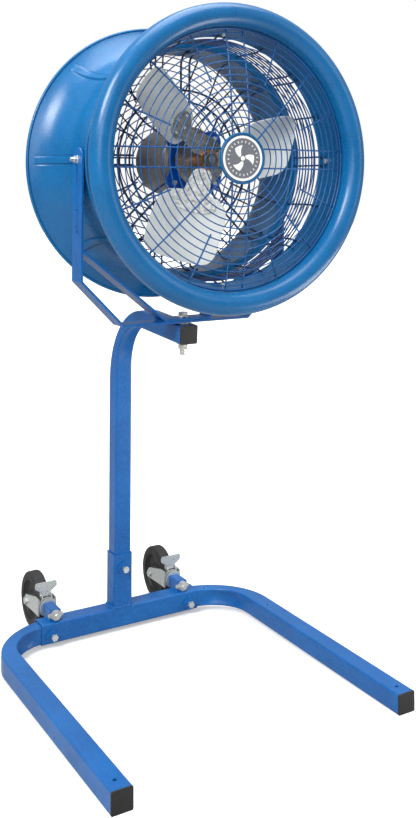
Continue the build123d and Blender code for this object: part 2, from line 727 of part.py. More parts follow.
# right half of the yoke, (x, z)
YOKE_HALF_OUTLINE = (
    (BAR_HALF, BAR_Z), (ARM_OUT, ARM_Z), (ARM_OUT, ARM_TOP), (ARM_IN, ARM_TOP),
    (ARM_IN, ARM_Z + BEND_SHIFT), (BAR_HALF - BEND_SHIFT, BAR_Z + BAR_T),
)
with BuildPart() as yoke:
    with BuildSketch(YOKE_FRONT):
        with BuildLine():
            Polyline(*mirrored(YOKE_HALF_OUTLINE), close=True)
        make_face()
    extrude(amount=-BAR_W)
    # rounded arm tops
    fillet(
        yoke.edges().filter_by(Axis.X).filter_by(lambda e: abs(e.center().Z - ARM_TOP) < 0.01),
        BAR_W / 2 - 0.1,
    )
    # outer bends
    fillet(
        yoke.edges().filter_by(Axis.Y).filter_by(
            lambda e: abs(e.center().Z - ARM_Z) < 0.01 or abs(e.center().Z - BAR_Z) < 0.01
        ),
        8.0,
    )
    # tilt bolt holes and two more below them in each arm
    with BuildSketch(Plane.YZ.offset(-WIDE_CUT_HALF)):
        with Locations((PAN_Y, FAN_Z)):
            Circle(TILT_HOLE_R)
        with Locations((PAN_Y, 982), (PAN_Y, 938)):
            Circle(3.5)
    extrude(amount=2 * WIDE_CUT_HALF, mode=Mode.SUBTRACT)
    with BuildSketch(Plane.XY.offset(BAR_Z - 5)):
        with Locations((0, PAN_Y)):
            Circle(PAN_BOLT_R + RUN)
    extrude(amount=20, mode=Mode.SUBTRACT)
save(yoke, "yoke")

# V brace: flat bar from the bottom bar up to the arms
brace_slope = math.atan2(BRACE_TOP_Z - BRACE_FOOT_Z, ARM_IN - BRACE_FOOT_X)
brace_shift = BAR_T * math.tan(brace_slope / 2)
BRACE_HALF_OUTLINE = (
    (BRACE_FOOT_X, BRACE_FOOT_Z),
    (ARM_IN, BRACE_TOP_Z),
    (ARM_IN, BRACE_TOP_Z + BAR_T / math.cos(brace_slope)),
    (BRACE_FOOT_X - brace_shift, BRACE_FOOT_Z + BAR_T),
)
with BuildPart() as yoke_brace:
    with BuildSketch(YOKE_FRONT.offset(-BRACE_INSET)):
        with BuildLine():
            Polyline(*mirrored(BRACE_HALF_OUTLINE), close=True)
        make_face()
    extrude(amount=-(BAR_W - 2 * BRACE_INSET))
    with BuildSketch(Plane.XY.offset(BAR_Z - 5)):
        with Locations((0, PAN_Y)):
            Circle(PAN_BOLT_R + RUN)
    extrude(amount=20, mode=Mode.SUBTRACT)
save(yoke_brace, "yoke_brace")


# =============================================================== FAN HEAD
def flare_radius(station):
    """Mid-surface radius of the drum's flare."""
    part = (station - FLARE_S0) / FLARE_LENGTH
    return THROAT_R + FLARE_HEIGHT * (1 - math.sqrt(1 - part * part))


def flare_point(station, offset):
    """Point offset square to the flare's mid-surface."""
    step = 0.01
    behind = flare_radius(station - step)
    if station < DRUM_S1 - 0.1:
        slope = (flare_radius(station + step) - behind) / (2 * step)
    else:
        slope = (flare_radius(station) - behind) / step
    scale = math.hypot(1, slope)
    return (station - offset * slope / scale, flare_radius(station) + offset / scale)


# rear drum: flanged throat that flares to a wired rear rim
flare_stations = [FLARE_S0 + (DRUM_S1 - FLARE_S0) * i / 10 for i in range(1, 11)]
flare_out = [flare_point(s, SHEET / 2) for s in flare_stations]
flare_in = [flare_point(s, -SHEET / 2) for s in flare_stations]
with BuildPart() as rear_drum:
    with BuildSketch(HEAD):
        with BuildLine():
            Polyline(
                (FLARE_S0, THROAT_IN_R),
                (DRUM_S0 + 3, THROAT_IN_R),
                (DRUM_S0, THROAT_IN_R + 3),
                (DRUM_S0, 246.5),
                (DRUM_S0 + 1.5, 247.5),
                (DRUM_S0 + 3.5, 246.5),
                (DRUM_S0 + 1.5, 244.5),
                (DRUM_S0 + 1.5, THROAT_OUT_R + 3),
                (DRUM_S0 + 4, THROAT_OUT_R),
                (FLARE_S0, THROAT_OUT_R),
            )
            Spline((FLARE_S0, THROAT_OUT_R), *flare_out, tangents=((1, 0), (1, 1.9)))
            Line(flare_out[-1], flare_in[-1])
            Spline(
                *reversed(flare_in), (FLARE_S0, THROAT_IN_R), tangents=((-1, -1.9), (-1, 0))
            )
        make_face()
        with Locations(
            (
                (flare_out[-1][0] + flare_in[-1][0]) / 2,
                (flare_out[-1][1] + flare_in[-1][1]) / 2,
            )
        ):
            Circle(3.4)
    revolve(axis=HEAD_AXIS)
    with BuildSketch(Plane.YZ.offset(-WIDE_CUT_HALF)):
        with Locations((PAN_Y, FAN_Z)):
            Circle(TILT_HOLE_R)
    extrude(amount=2 * WIDE_CUT_HALF, mode=Mode.SUBTRACT)
save(rear_drum, "rear_drum")

# front bell: rolled lip and tapering wall with a beaded rear edge
with BuildPart() as front_bell:
    with BuildSketch(HEAD):
        with BuildLine():
            Line((100, 249.5), (52, 258.5))
            ThreePointArc((52, 258.5), (38, 260.3), (24, 260.9))
            ThreePointArc((24, 260.9), (2.2, 282.7), (24, 304.5))
            ThreePointArc((24, 304.5), (35.5, 301.0), (40.5, 292.0))
        trace(line_width=2.0)
        with Locations((100, 249.5)):
            Circle(2.6)
    revolve(axis=HEAD_AXIS)
    for phi in QUARTERS:
        with BuildSketch(outward(BELL_BOLT_S, phi)):
            Circle(3.1)
        extrude(amount=290, mode=Mode.SUBTRACT)
save(front_bell, "front_bell")

# gap cage: rods from the bell wall to the drum flange, with hoops around them
with BuildPart() as gap_cage:
    with BuildSketch(HEAD):
        for i in range(7):
            with Locations((112.0 + i * 11.5, CAGE_R + 2.6)):
                Circle(1.6)
    revolve(axis=HEAD_AXIS)
    rods = []
    for _, phi, shift in rod_places(9.0):
        knee = polar(104.0, CAGE_R, phi, shift)
        # each rod: (start, end, overrun that fills the joint at the knee)
        for start, end, overrun in (
            (polar(82.0, 248.8, phi, shift), knee, 0.6),
            (knee, polar(185.98, CAGE_R, phi, shift), 0.0),
        ):
            run = Vector(*end) - Vector(*start)
            with BuildSketch(Plane(origin=start, z_dir=run)):
                Circle(2.0)
            rods.append(extrude(amount=run.length + overrun, mode=Mode.PRIVATE))
    add(rods)
save(gap_cage, "gap_cage")


def dome(radius):
    """Station of the front guard's rings at a radius."""
    return 34.0 - 30.0 * (1 - (radius / 259.0) ** 2)


def dish(radius):
    """Station of the rear guard's rings at a radius."""
    return 372.0 + 12.0 * (1 - (radius / 290.0) ** 2)


# radii that the guard spokes pass through
FRONT_LONG = (43.0, 100.0, 160.0, 215.0, 256.6)
FRONT_SHORT = (158.5, 190.0, 225.0, 256.6)
REAR_LONG = (44.0, 120.0, 200.0, 268.7)
REAR_SHORT = (144.0, 190.0, 235.0, 268.7)

# front guard: domed wire rings with spokes behind them, paired at the quarters
front_spokes = [
    spoke(dome, 2.3, FRONT_LONG, phi, shift) for phi in QUARTERS for shift in (-19.0, 19.0)
] + [
    spoke(dome, 2.3, FRONT_LONG if i % 2 == 0 else FRONT_SHORT, i * ROD_STEP)
    for i in range(16)
    if i % 4 != 0
]
with BuildPart() as front_guard:
    with BuildSketch(HEAD):
        for i in range(14):
            radius = 66.0 + GUARD_PITCH * i
            with Locations((dome(radius), radius)):
                Circle(1.25)
        with Locations((34.0, 256.9)):
            Circle(2.4)
        with Locations((dome(47.0), 47.0)):
            Circle(1.6)
    revolve(axis=HEAD_AXIS)
    for path in front_spokes:
        with BuildLine() as wire:
            Spline(*path)
        with BuildSketch(Plane(origin=wire.line @ 0, z_dir=wire.line % 0)):
            Circle(1.7)
        sweep(path=wire.line)
save(front_guard, "front_guard")

# rear guard: dished wire rings in the drum's flare, with spokes in front of them
with BuildPart() as rear_guard:
    with BuildSketch(HEAD):
        for i in range(14):
            radius = 60.0 + REAR_PITCH * i
            with Locations((dish(radius), radius)):
                Circle(1.25)
        with Locations((372.75, 270.78)):
            Circle(2.2)
        with Locations((dish(48.0), 48.0)):
            Circle(2.0)
    revolve(axis=HEAD_AXIS)
    for i, phi, shift in rod_places(9.0):
        with BuildLine() as wire:
            Spline(*spoke(dish, -2.5, REAR_LONG if i % 2 == 0 else REAR_SHORT, phi, shift))
        with BuildSketch(Plane(origin=wire.line @ 0, z_dir=wire.line % 0)):
            Circle(1.8)
        sweep(path=wire.line)
save(rear_guard, "rear_guard")

# motor basket rods as (station, radius): the outer run that all share, then
# either the long end in to the motor plate or the short end at the inner hoop
BASKET_OUTER = [
    (207.0, 228.3), (215.0, 228.3), (224.0, 228.3), (234.0, 227.6), (243.0, 223.0),
    (BASKET_S, 213.0), (BASKET_S, 204.0), (BASKET_S, 190.0), (BASKET_S, 175.0),
    (BASKET_S, 162.0),
]
BASKET_LONG_END = [
    (BASKET_S, 150.0), (242.0, 138.0), (233.0, 121.0), (221.0, 97.0), (208.6, 73.0),
]
BASKET_SHORT_END = [(BASKET_S, 145.0), (BASKET_S, 119.5)]

# motor basket: two hoops, and rods running in from the drum wall
with BuildPart() as motor_basket:
    with BuildSketch(HEAD):
        for station, radius, wire_d in (
            (BASKET_S + 3.6, 151.3, 4.6), (BASKET_S + 3.4, 126.7, 4.2),
        ):
            with Locations((station, radius)):
                Circle(wire_d / 2)
    revolve(axis=HEAD_AXIS)
    for i, phi, shift in rod_places(10.0):
        stations = BASKET_OUTER + (BASKET_LONG_END if i % 4 == 2 else BASKET_SHORT_END)
        with BuildLine() as wire:
            Spline(*[polar(s, r, phi, shift) for s, r in stations])
        with BuildSketch(Plane(origin=wire.line @ 0, z_dir=wire.line % 0)):
            Circle(2.8 if i % 2 == 0 else 2.2)
        sweep(path=wire.line)
save(motor_basket, "motor_basket")

# motor plate: four rounded lobes around a clearance hole, a bolt hole in each
# lobe and four more holes between them
with BuildPart() as motor_plate:
    with BuildSketch(face_at(PLATE_S)):
        Circle(58)
        with PolarLocations(56, 4, 45):
            Circle(24)
        Circle(20, mode=Mode.SUBTRACT)
        with PolarLocations(MOTOR_BOLT_CIRCLE_R, 4, 45):
            Circle(3.2, mode=Mode.SUBTRACT)
        with PolarLocations(45, 4, 0):
            Circle(5.0, mode=Mode.SUBTRACT)
    extrude(amount=PLATE_T)
    fillet(
        motor_plate.edges().filter_by(GeomType.CIRCLE).filter_by(lambda e: 23 < e.radius < 60),
        0.8,
    )
save(motor_plate, "motor_plate")

with BuildPart() as motor_bolts:
    with BuildSketch(face_at(PLATE_S - PLATE_T)):
        with PolarLocations(MOTOR_BOLT_CIRCLE_R, 4, 45):
            RegularPolygon(5.5, 6)
    extrude(amount=4)
    with BuildSketch(face_at(PLATE_S - PLATE_T)):
        with PolarLocations(MOTOR_BOLT_CIRCLE_R, 4, 45):
            Circle(3.0)
    extrude(amount=-14)
save(motor_bolts, "motor_bolts")

# --------------------------------------------------------------- motor
# can, with an opening underneath for the cable gland
with BuildPart() as motor_can:
    with BuildSketch(HEAD):
        with BuildLine():
            Polyline(
                (CAN_S0, CAN_IN_R), (CAN_S0, MOTOR_R), (CAN_S1, MOTOR_R), (CAN_S1, CAN_IN_R),
                close=True,
            )
        make_face()
    revolve(axis=HEAD_AXIS)
    with BuildSketch(outward(GLAND_S, 270)):
        Circle(7.0)
    extrude(amount=100, mode=Mode.SUBTRACT)
save(motor_can, "motor_can")

# front end shield, with four bored bosses for the motor bolts
with BuildPart() as motor_shield_front:
    with BuildSketch(HEAD):
        with BuildLine():
            Polyline(
                (205.4, 14.0), (205.4, 19.9), (208.25, 24.0), (208.25, 58.0), (213, 67.0),
                (CAN_S0, MOTOR_R), (CAN_S0, CAN_IN_R), (228, SPIGOT_R), (228, SHOULDER_IN_R),
                (216, 58.0), (213, 26.0), (224, 21.0), (224, BEARING_R), (212, BEARING_R),
                (212, 12.0), (205.4, 12.0),
                close=True,
            )
        make_face()
    revolve(axis=HEAD_AXIS)
    with BuildSketch(face_at(208.25)):
        with PolarLocations(MOTOR_BOLT_CIRCLE_R, 4, 45):
            Circle(7.5)
    extrude(amount=-12.0)
    with BuildSketch(face_at(205)):
        with PolarLocations(MOTOR_BOLT_CIRCLE_R, 4, 45):
            Circle(3.05)
    extrude(amount=-16.0, mode=Mode.SUBTRACT)
save(motor_shield_front, "motor_shield_front")

save_turned("motor_shield_rear", [
    (332, SHOULDER_IN_R), (332, SPIGOT_R), (CAN_S1, CAN_IN_R), (CAN_S1, MOTOR_R), (344, 68.0),
    (351, 56.0), (352, 20.0), (348, 0.0), (344, 0.0), (344, BEARING_R), (330, BEARING_R),
    (330, 21.0), (345, 25.0), (345, 54.0), (340, 62.0),
])

with BuildPart() as motor_bearings:
    bore_r = SHAFT_R + 0.03
    with BuildSketch(HEAD):
        for s in (212.5, 331.0):
            with BuildLine():
                Polyline(
                    (s, bore_r), (s + 11, bore_r), (s + 11, BEARING_R), (s, BEARING_R),
                    close=True,
                )
            make_face()
    revolve(axis=HEAD_AXIS)
save(motor_bearings, "motor_bearings")

save_turned("motor_stator", [
    (250, 42.0), (310, 42.0), (310, 45), (324, 48), (324, 60), (310, 63), (310, CAN_IN_R),
    (250, CAN_IN_R), (250, 63), (238, 60), (238, 48), (250, 45),
])
save_turned("motor_rotor", [(246, SHAFT_R), (314, SHAFT_R), (314, 41.5), (246, 41.5)])
save_turned("motor_shaft", [
    (123, 0), (123, SHAFT_R - 1), (124, SHAFT_R), (342.5, SHAFT_R), (342.5, 0),
])

# cable gland on the motor's underside
with BuildPart() as cable_gland:
    with BuildSketch(outward(GLAND_S, 270).offset(CAN_IN_R)):
        ring(6.95, GLAND_BORE_R)
    extrude(amount=7)
    with BuildSketch(outward(GLAND_S, 270).offset(MOTOR_R + 0.6)):
        hex_ring(10.5, GLAND_BORE_R)
    extrude(amount=7)
save(cable_gland, "cable_gland")

# power cable: out of the motor's underside, down and round to the lower side of the drum
with BuildPart() as power_cable:
    with BuildLine():
        Spline(
            polar(GLAND_S, MOTOR_R - 6, 270), polar(GLAND_S, MOTOR_R + 22, 270),
            polar(308, 128, 262), polar(290, 176, 246), polar(274, 212, 228),
            polar(262, 222, 219),
            tangents=((0, 0, -1), (-0.35, -0.25, -0.6)),
        )
    with BuildSketch(Plane(origin=polar(GLAND_S, MOTOR_R - 6, 270), z_dir=(0, 0, -1))):
        Circle(4.4)
    sweep()
save(power_cable, "power_cable")

# bell bolts and nuts: through the bell wall, heads inside
with BuildPart() as bell_bolts:
    for phi in QUARTERS:
        with BuildSketch(outward(BELL_BOLT_S, phi).offset(246.6)):
            RegularPolygon(5.8, 6)
        extrude(amount=4.8)
        with BuildSketch(outward(BELL_BOLT_S, phi).offset(251.0)):
            Circle(3.0)
        extrude(amount=12)
        with BuildSketch(outward(BELL_BOLT_S, phi).offset(256.2)):
            hex_ring(5.8, 3.05)
        extrude(amount=4.6)
save(bell_bolts, "bell_bolts")

# badge: round bezel and disc in the middle of the front guard
BADGE_S = 2.0
save_turned("badge_bezel", [
    (BADGE_S, 0), (BADGE_S, 45.5), (-1.0, 46.5), (-1.5, 49.0), (0.5, 50.5), (3.3, 50.5), (3.3, 0),
])
with BuildPart() as badge_face:
    with BuildSketch(face_at(BADGE_S)):
        Circle(45.0)
    extrude(amount=1.6)
    fillet(badge_face.edges().sort_by(Axis.Y)[0], 0.8)
save(badge_face, "badge_face")

# tilt hardware: bolts through drum wall and yoke arm, washers both sides of
# the arm, nuts outside
TILT_HEAD_X = 226.2
with BuildPart() as tilt_bolts:
    for _, hand in SIDES:
        with BuildSketch(tilt_plane(hand).offset(TILT_HEAD_X)):
            Circle(7.2)
        extrude(amount=THROAT_IN_R - TILT_HEAD_X - 0.3)
        with BuildSketch(tilt_plane(hand).offset(227.0)):
            Circle(TILT_BOLT_R)
        extrude(amount=27.0)
save(tilt_bolts, "tilt_bolts")

SPACER_X = THROAT_OUT_R + 0.02
with BuildPart() as tilt_washers:
    for _, hand in SIDES:
        with BuildSketch(tilt_plane(hand).offset(SPACER_X)):
            ring(11, TILT_HOLE_R)
        extrude(amount=ARM_IN - 0.05 - SPACER_X)
        with BuildSketch(tilt_plane(hand).offset(ARM_OUT + 0.05)):
            ring(9, TILT_HOLE_R)
        extrude(amount=1.5)
save(tilt_washers, "tilt_washers")

with BuildPart() as tilt_nuts:
    for _, hand in SIDES:
        with BuildSketch(tilt_plane(hand).offset(ARM_OUT + 1.55)):
            hex_ring(BOLT_HEX_R, TILT_BOLT_R + 0.02)
        extrude(amount=6.5)
save(tilt_nuts, "tilt_nuts")

# =============================================================== PROPELLER
# hub: sleeve on the shaft with a collar at the rear and a screw hole on top
with BuildPart() as prop_hub:
    with BuildSketch(HEAD):
        with BuildLine():
            Polyline(
                (126, SHAFT_R + 0.01), (201, SHAFT_R + 0.01), (201, 17), (199.5, 18.5),
                (182.1, 18.5), (182.1, 15.5), (127.5, 15.5), (126, 14.0),
                close=True,
            )
        make_face()
    revolve(axis=HEAD_AXIS)
    with BuildSketch(outward(HUB_SCREW_S, 90)):
        Circle(3.0)
    extrude(amount=40, mode=Mode.SUBTRACT)
save(prop_hub, "prop_hub")

with BuildPart() as hub_screw:
    with BuildSketch(outward(HUB_SCREW_S, 90).offset(SHAFT_R + 0.02)):
        Circle(2.95)
        RegularPolygon(1.4, 6, mode=Mode.SUBTRACT)
    extrude(amount=8.5)
save(hub_screw, "hub_screw")

# spider: sleeve and disc on the hub, with three pitched arms ending in oval pads
with BuildPart() as prop_spider:
    with BuildSketch(HEAD):
        with BuildLine():
            Polyline(
                (133, 15.6), (182, 15.6), (182, 46), (179.5, 56), (177, 56), (179, 45),
                (179, 19.2), (133, 19.2),
                close=True,
            )
        make_face()
    revolve(axis=HEAD_AXIS)
    for phi in BLADE_PHI:
        with BuildSketch(blade_plane(phi).offset(-PAD_T / 2)):
            with Locations((PAD_R, 0)):
                Ellipse(21, 48)
            with BuildLine():
                Polyline(
                    (17.5, -9), (30, -20), (60, -25), (PAD_R, -30),
                    (PAD_R, 30), (60, 25), (30, 20), (17.5, 9),
                    close=True,
                )
            make_face()
        extrude(amount=PAD_T)
save(prop_spider, "prop_spider")

# blade outline, (distance out from the fan axis, distance along the chord)
BLADE_OUTLINE = (
    (70, 0), (70.5, 24), (76, 50), (88, 66), (106, 73), (150, 76), (188, 74), (203, 66),
    (211, 44), (214, 10), (213.5, -28), (209, -56), (199, -70), (184, -74.5), (150, -76),
    (106, -73), (88, -66), (76, -50), (70.5, -24), (70, 0),
)
# blades: broad square paddles on the back of the pads
with BuildPart() as blades:
    for phi in BLADE_PHI:
        with BuildSketch(blade_plane(phi).offset(-(PAD_T / 2 + BLADE_T + 0.02))):
            with BuildLine():
                Spline(*BLADE_OUTLINE, tangents=((0, 1), (0, 1)))
            make_face()
        extrude(amount=BLADE_T)
save(blades, "blades")

# rivet heads in front of each pad and behind each blade
RIVET_SPOTS = ((93, 35), (93, -35), (84, 0), (104, 0))
with BuildPart() as blade_rivets:
    for phi in BLADE_PHI:
        for spot in RIVET_SPOTS:
            with BuildSketch(blade_plane(phi).offset(PAD_T / 2 + 0.01)):
                with Locations(spot):
                    Circle(RIVET_R)
            extrude(amount=RIVET_T)
            with BuildSketch(blade_plane(phi).offset(-(PAD_T / 2 + BLADE_T + 0.03))):
                with Locations(spot):
                    Circle(RIVET_R)
            extrude(amount=-RIVET_T)
save(blade_rivets, "blade_rivets")
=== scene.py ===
import json
import math
import random

import bmesh
import bpy
import numpy as np
from mathutils import Matrix, Vector


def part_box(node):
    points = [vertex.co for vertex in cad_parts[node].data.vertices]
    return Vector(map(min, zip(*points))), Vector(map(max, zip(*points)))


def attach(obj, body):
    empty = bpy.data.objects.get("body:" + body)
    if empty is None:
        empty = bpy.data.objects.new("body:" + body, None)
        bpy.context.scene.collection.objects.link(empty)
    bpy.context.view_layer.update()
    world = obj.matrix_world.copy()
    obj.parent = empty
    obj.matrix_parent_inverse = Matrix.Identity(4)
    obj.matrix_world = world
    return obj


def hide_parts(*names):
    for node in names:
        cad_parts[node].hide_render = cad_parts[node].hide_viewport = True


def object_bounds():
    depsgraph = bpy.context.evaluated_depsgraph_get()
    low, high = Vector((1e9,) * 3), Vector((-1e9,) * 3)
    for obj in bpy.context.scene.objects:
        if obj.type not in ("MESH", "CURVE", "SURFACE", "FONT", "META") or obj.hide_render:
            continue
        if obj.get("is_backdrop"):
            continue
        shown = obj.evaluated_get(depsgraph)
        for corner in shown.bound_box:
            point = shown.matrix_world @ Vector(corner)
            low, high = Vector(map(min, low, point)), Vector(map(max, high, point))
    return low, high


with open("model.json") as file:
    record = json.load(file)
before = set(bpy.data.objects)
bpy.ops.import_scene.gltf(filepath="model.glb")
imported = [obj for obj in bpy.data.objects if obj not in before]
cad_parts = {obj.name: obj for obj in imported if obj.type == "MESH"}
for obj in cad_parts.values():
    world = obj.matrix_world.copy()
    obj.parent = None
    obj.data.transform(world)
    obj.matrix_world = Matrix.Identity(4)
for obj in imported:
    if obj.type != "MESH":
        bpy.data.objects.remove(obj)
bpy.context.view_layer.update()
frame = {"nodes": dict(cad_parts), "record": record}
nodes = frame["nodes"]
MM = 0.001

# ------------------------------------------------------------ anchors taken from the frame
bell_lo, bell_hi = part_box("front_bell")
drum_lo, drum_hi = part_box("rear_drum")
FZ = (bell_lo[2] + bell_hi[2]) / 2 / MM
LIP = bell_lo[1] / MM - 1.2
cross_lo, cross_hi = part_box("crossbar")
leg_lo, leg_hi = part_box("leg_right")
mast_lo, mast_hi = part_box("mast")
yoke_lo, yoke_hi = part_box("yoke")
PAN_Y = (yoke_lo[1] + yoke_hi[1]) / 2 / MM
LEG_TOP = leg_hi[2] / MM
TUBE = LEG_TOP
LEG_XO = leg_hi[0] / MM
LEG_X = LEG_XO - TUBE / 2


# ============================================================ materials
def nodetree(name):
    m = bpy.data.materials.new(name)
    m.use_nodes = True
    t = m.node_tree
    t.nodes.clear()
    out = t.nodes.new("ShaderNodeOutputMaterial")
    b = t.nodes.new("ShaderNodeBsdfPrincipled")
    t.links.new(b.outputs[0], out.inputs[0])
    tc = t.nodes.new("ShaderNodeTexCoord")
    return m, t, b, tc


def srgb(r, g, b):
    def f(v):
        v = v / 255
        return v / 12.92 if v <= 0.04045 else ((v + 0.055) / 1.055) ** 2.4
    return (f(r), f(g), f(b), 1.0)


def noise(t, src, scale, detail=3.0, rough=0.55, stretch=None):
    n = t.nodes.new("ShaderNodeTexNoise")
    n.inputs["Scale"].default_value = scale
    n.inputs["Detail"].default_value = detail
    n.inputs["Roughness"].default_value = rough
    if stretch:
        mp = t.nodes.new("ShaderNodeMapping")
        mp.inputs["Scale"].default_value = stretch
        t.links.new(src, mp.inputs[0])
        src = mp.outputs[0]
    t.links.new(src, n.inputs["Vector"])
    return n.outputs["Fac"]


def ramp(t, src, stops):
    r = t.nodes.new("ShaderNodeValToRGB")
    els = r.color_ramp.elements
    while len(els) < len(stops):
        els.new(0.5)
    for e, (p, c) in zip(els, stops):
        e.position = p
        e.color = c if len(c) == 4 else (*c, 1)
    t.links.new(src, r.inputs[0])
    return r.outputs[0]


def grey(v):
    return (v, v, v, 1)


def mixc(t, fac, a, b, mode="MIX"):
    m = t.nodes.new("ShaderNodeMix")
    m.data_type = "RGBA"
    m.blend_type = mode
    if isinstance(fac, (int, float)):
        m.inputs[0].default_value = fac
    else:
        t.links.new(fac, m.inputs[0])
    for i, v in ((6, a), (7, b)):
        if isinstance(v, tuple):
            m.inputs[i].default_value = v
        else:
            t.links.new(v, m.inputs[i])
    return m.outputs[2]


def mathn(t, op, a, b=0.0):
    m = t.nodes.new("ShaderNodeMath")
    m.operation = op
    for i, v in enumerate((a, b)):
        if isinstance(v, (int, float)):
            m.inputs[i].default_value = v
        else:
            t.links.new(v, m.inputs[i])
    return m.outputs[0]


def bump(t, h, strength, dist, prev=None):
    b = t.nodes.new("ShaderNodeBump")
    b.inputs["Strength"].default_value = strength
    b.inputs["Distance"].default_value = dist
    t.links.new(h, b.inputs["Height"])
    if prev is not None:
        t.links.new(prev, b.inputs["Normal"])
    return b.outputs[0]


def edge_mask(t, lo=0.52, hi=0.6):
    g = t.nodes.new("ShaderNodeNewGeometry")
    return ramp(t, g.outputs["Pointiness"], [(lo, grey(0)), (hi, grey(1))])


def powder(name, base, light, dark, rough=0.36, grain=1.0, coat=0.25):
    """Powder coat: fine orange peel, sand grain, faint clouding, and a painted highlight along convex edges."""
    m, t, b, tc = nodetree(name)
    o = tc.outputs["Object"]
    cloud = noise(t, o, 7.0, 4.0, 0.6)
    fine = noise(t, o, 620.0, 2.0, 0.6)
    peel = noise(t, o, 260.0, 2.0, 0.5)
    c = mixc(t, ramp(t, cloud, [(0.3, grey(0)), (0.72, grey(1))]), dark, base)
    c = mixc(t, ramp(t, fine, [(0.45, grey(0)), (0.78, grey(0.30 * grain))]), c, light)
    c = mixc(t, ramp(t, fine, [(0.20, grey(0.26 * grain)), (0.45, grey(0))]), c, dark)
    sand = noise(t, o, 330.0, 2.0, 0.6)
    c = mixc(t, ramp(t, sand, [(0.50, grey(0)), (0.75, grey(0.18 * grain))]), c, light)
    c = mixc(t, ramp(t, sand, [(0.24, grey(0.16 * grain)), (0.47, grey(0))]), c, dark)
    # painted highlight: convex edges (pointiness) are lightened towards the light tone, broken up by noise
    edge_sheen_breakup = ramp(t, noise(t, o, 55.0, 5.0, 0.7), [(0.60, grey(0)), (0.72, grey(1))])
    painted_edge_highlight = mathn(t, "MULTIPLY", edge_mask(t), edge_sheen_breakup)
    c = mixc(t, mathn(t, "MULTIPLY", painted_edge_highlight, 0.35), c, light)
    t.links.new(c, b.inputs["Base Color"])
    r = ramp(t, noise(t, o, 24.0, 4.0, 0.6), [(0.3, grey(rough - 0.05)), (0.7, grey(rough + 0.07))])
    t.links.new(r, b.inputs["Roughness"])
    n = bump(t, peel, 0.22, 0.0006)
    n = bump(t, sand, 0.14 * grain, 0.0005, n)
    n = bump(t, fine, 0.16 * grain, 0.0003, n)
    t.links.new(n, b.inputs["Normal"])
    b.inputs["Coat Weight"].default_value = coat
    b.inputs["Coat Roughness"].default_value = 0.22
    b.inputs["Specular IOR Level"].default_value = 0.36
    return m


def metal(name, base, rough, streak=None, spots=0.0, dark=None, metallic=1.0, scale=90.0):
    m, t, b, tc = nodetree(name)
    o = tc.outputs["Object"]
    dark = dark or tuple(v * 0.6 for v in base[:3]) + (1,)
    c = mixc(t, ramp(t, noise(t, o, scale, 5.0, 0.65), [(0.32, grey(0.55)), (0.68, grey(0))]), base, dark)
    if spots:
        v = t.nodes.new("ShaderNodeTexVoronoi")
        v.inputs["Scale"].default_value = 420.0
        t.links.new(o, v.inputs["Vector"])
        c = mixc(t, mathn(t, "MULTIPLY", v.outputs["Distance"], spots), c, dark)
    t.links.new(c, b.inputs["Base Color"])
    b.inputs["Metallic"].default_value = metallic
    s = noise(t, o, 60.0, 3.0, 0.6, streak) if streak else noise(t, o, 300.0, 3.0)
    t.links.new(ramp(t, s, [(0.25, grey(max(0.05, rough - 0.10))), (0.75, grey(rough + 0.12))]), b.inputs["Roughness"])
    t.links.new(bump(t, s, 0.18, 0.0002), b.inputs["Normal"])
    return m


def plastic(name, base, rough, grain=500.0, dust=None):
    m, t, b, tc = nodetree(name)
    o = tc.outputs["Object"]
    hi = tuple(min(1, v * 1.7 + 0.012) for v in base[:3]) + (1,)
    c = mixc(t, ramp(t, noise(t, o, 18.0, 4.0), [(0.35, grey(0)), (0.75, grey(0.5))]), base, hi)
    # painted highlight: convex edges (pointiness) are lightened halfway towards the lighter tone
    c = mixc(t, mathn(t, "MULTIPLY", edge_mask(t), 0.5), c, hi)
    if dust:
        c = mixc(t, ramp(t, noise(t, o, 70.0, 6.0, 0.7), [(0.55, grey(0)), (0.75, grey(0.35))]), c, dust)
    t.links.new(c, b.inputs["Base Color"])
    t.links.new(ramp(t, noise(t, o, 40.0), [(0.3, grey(rough - 0.06)), (0.7, grey(rough + 0.1))]), b.inputs["Roughness"])
    t.links.new(bump(t, noise(t, o, grain, 2.0), 0.25, 0.0003), b.inputs["Normal"])
    return m


FAN = powder("fan_paint", srgb(0, 96, 153), srgb(24, 130, 184), srgb(0, 78, 130), rough=0.28, coat=0.2)
STAND = powder("stand_paint", srgb(4, 95, 168), srgb(48, 140, 206), srgb(0, 72, 140), rough=0.32, grain=1.3, coat=0.12)
WIRE_FRONT = powder("guard_wire", srgb(12, 88, 152), srgb(60, 138, 196), srgb(4, 62, 118), rough=0.28, grain=0.5)
# dark_wire is a darker copy of the guard wire paint: painted shade for the wires that sit in shadow inside the fan
# (gap cage, rear guard, motor basket)
WIRE_SHADE_PAINTED = powder("dark_wire", srgb(18, 58, 112), srgb(44, 98, 160), srgb(8, 34, 72), rough=0.32, grain=0.5)
PLATE_BLUE = powder("plate_paint", srgb(8, 78, 176), srgb(40, 118, 206), srgb(4, 58, 142), rough=0.28, grain=0.5)
ZINC = metal("zinc", srgb(226, 227, 221), 0.28, spots=0.06, dark=srgb(190, 192, 188), metallic=0.75)
FORK = metal("zinc_pressing", srgb(204, 207, 204), 0.32, spots=0.05, dark=srgb(180, 186, 186), scale=24.0, metallic=0.65)
STEEL = metal("bare_steel", srgb(168, 170, 166), 0.34, spots=0.8, dark=srgb(86, 90, 88), scale=120.0, metallic=0.75)
ALU = metal("aluminium_sheet", srgb(206, 210, 208), 0.42, streak=(1, 1, 30), dark=srgb(176, 182, 180), scale=14.0, metallic=0.45)
BRONZE = metal("bronze", srgb(222, 160, 104), 0.28, streak=(1, 30, 1), dark=srgb(150, 98, 56), scale=60.0, metallic=0.85)
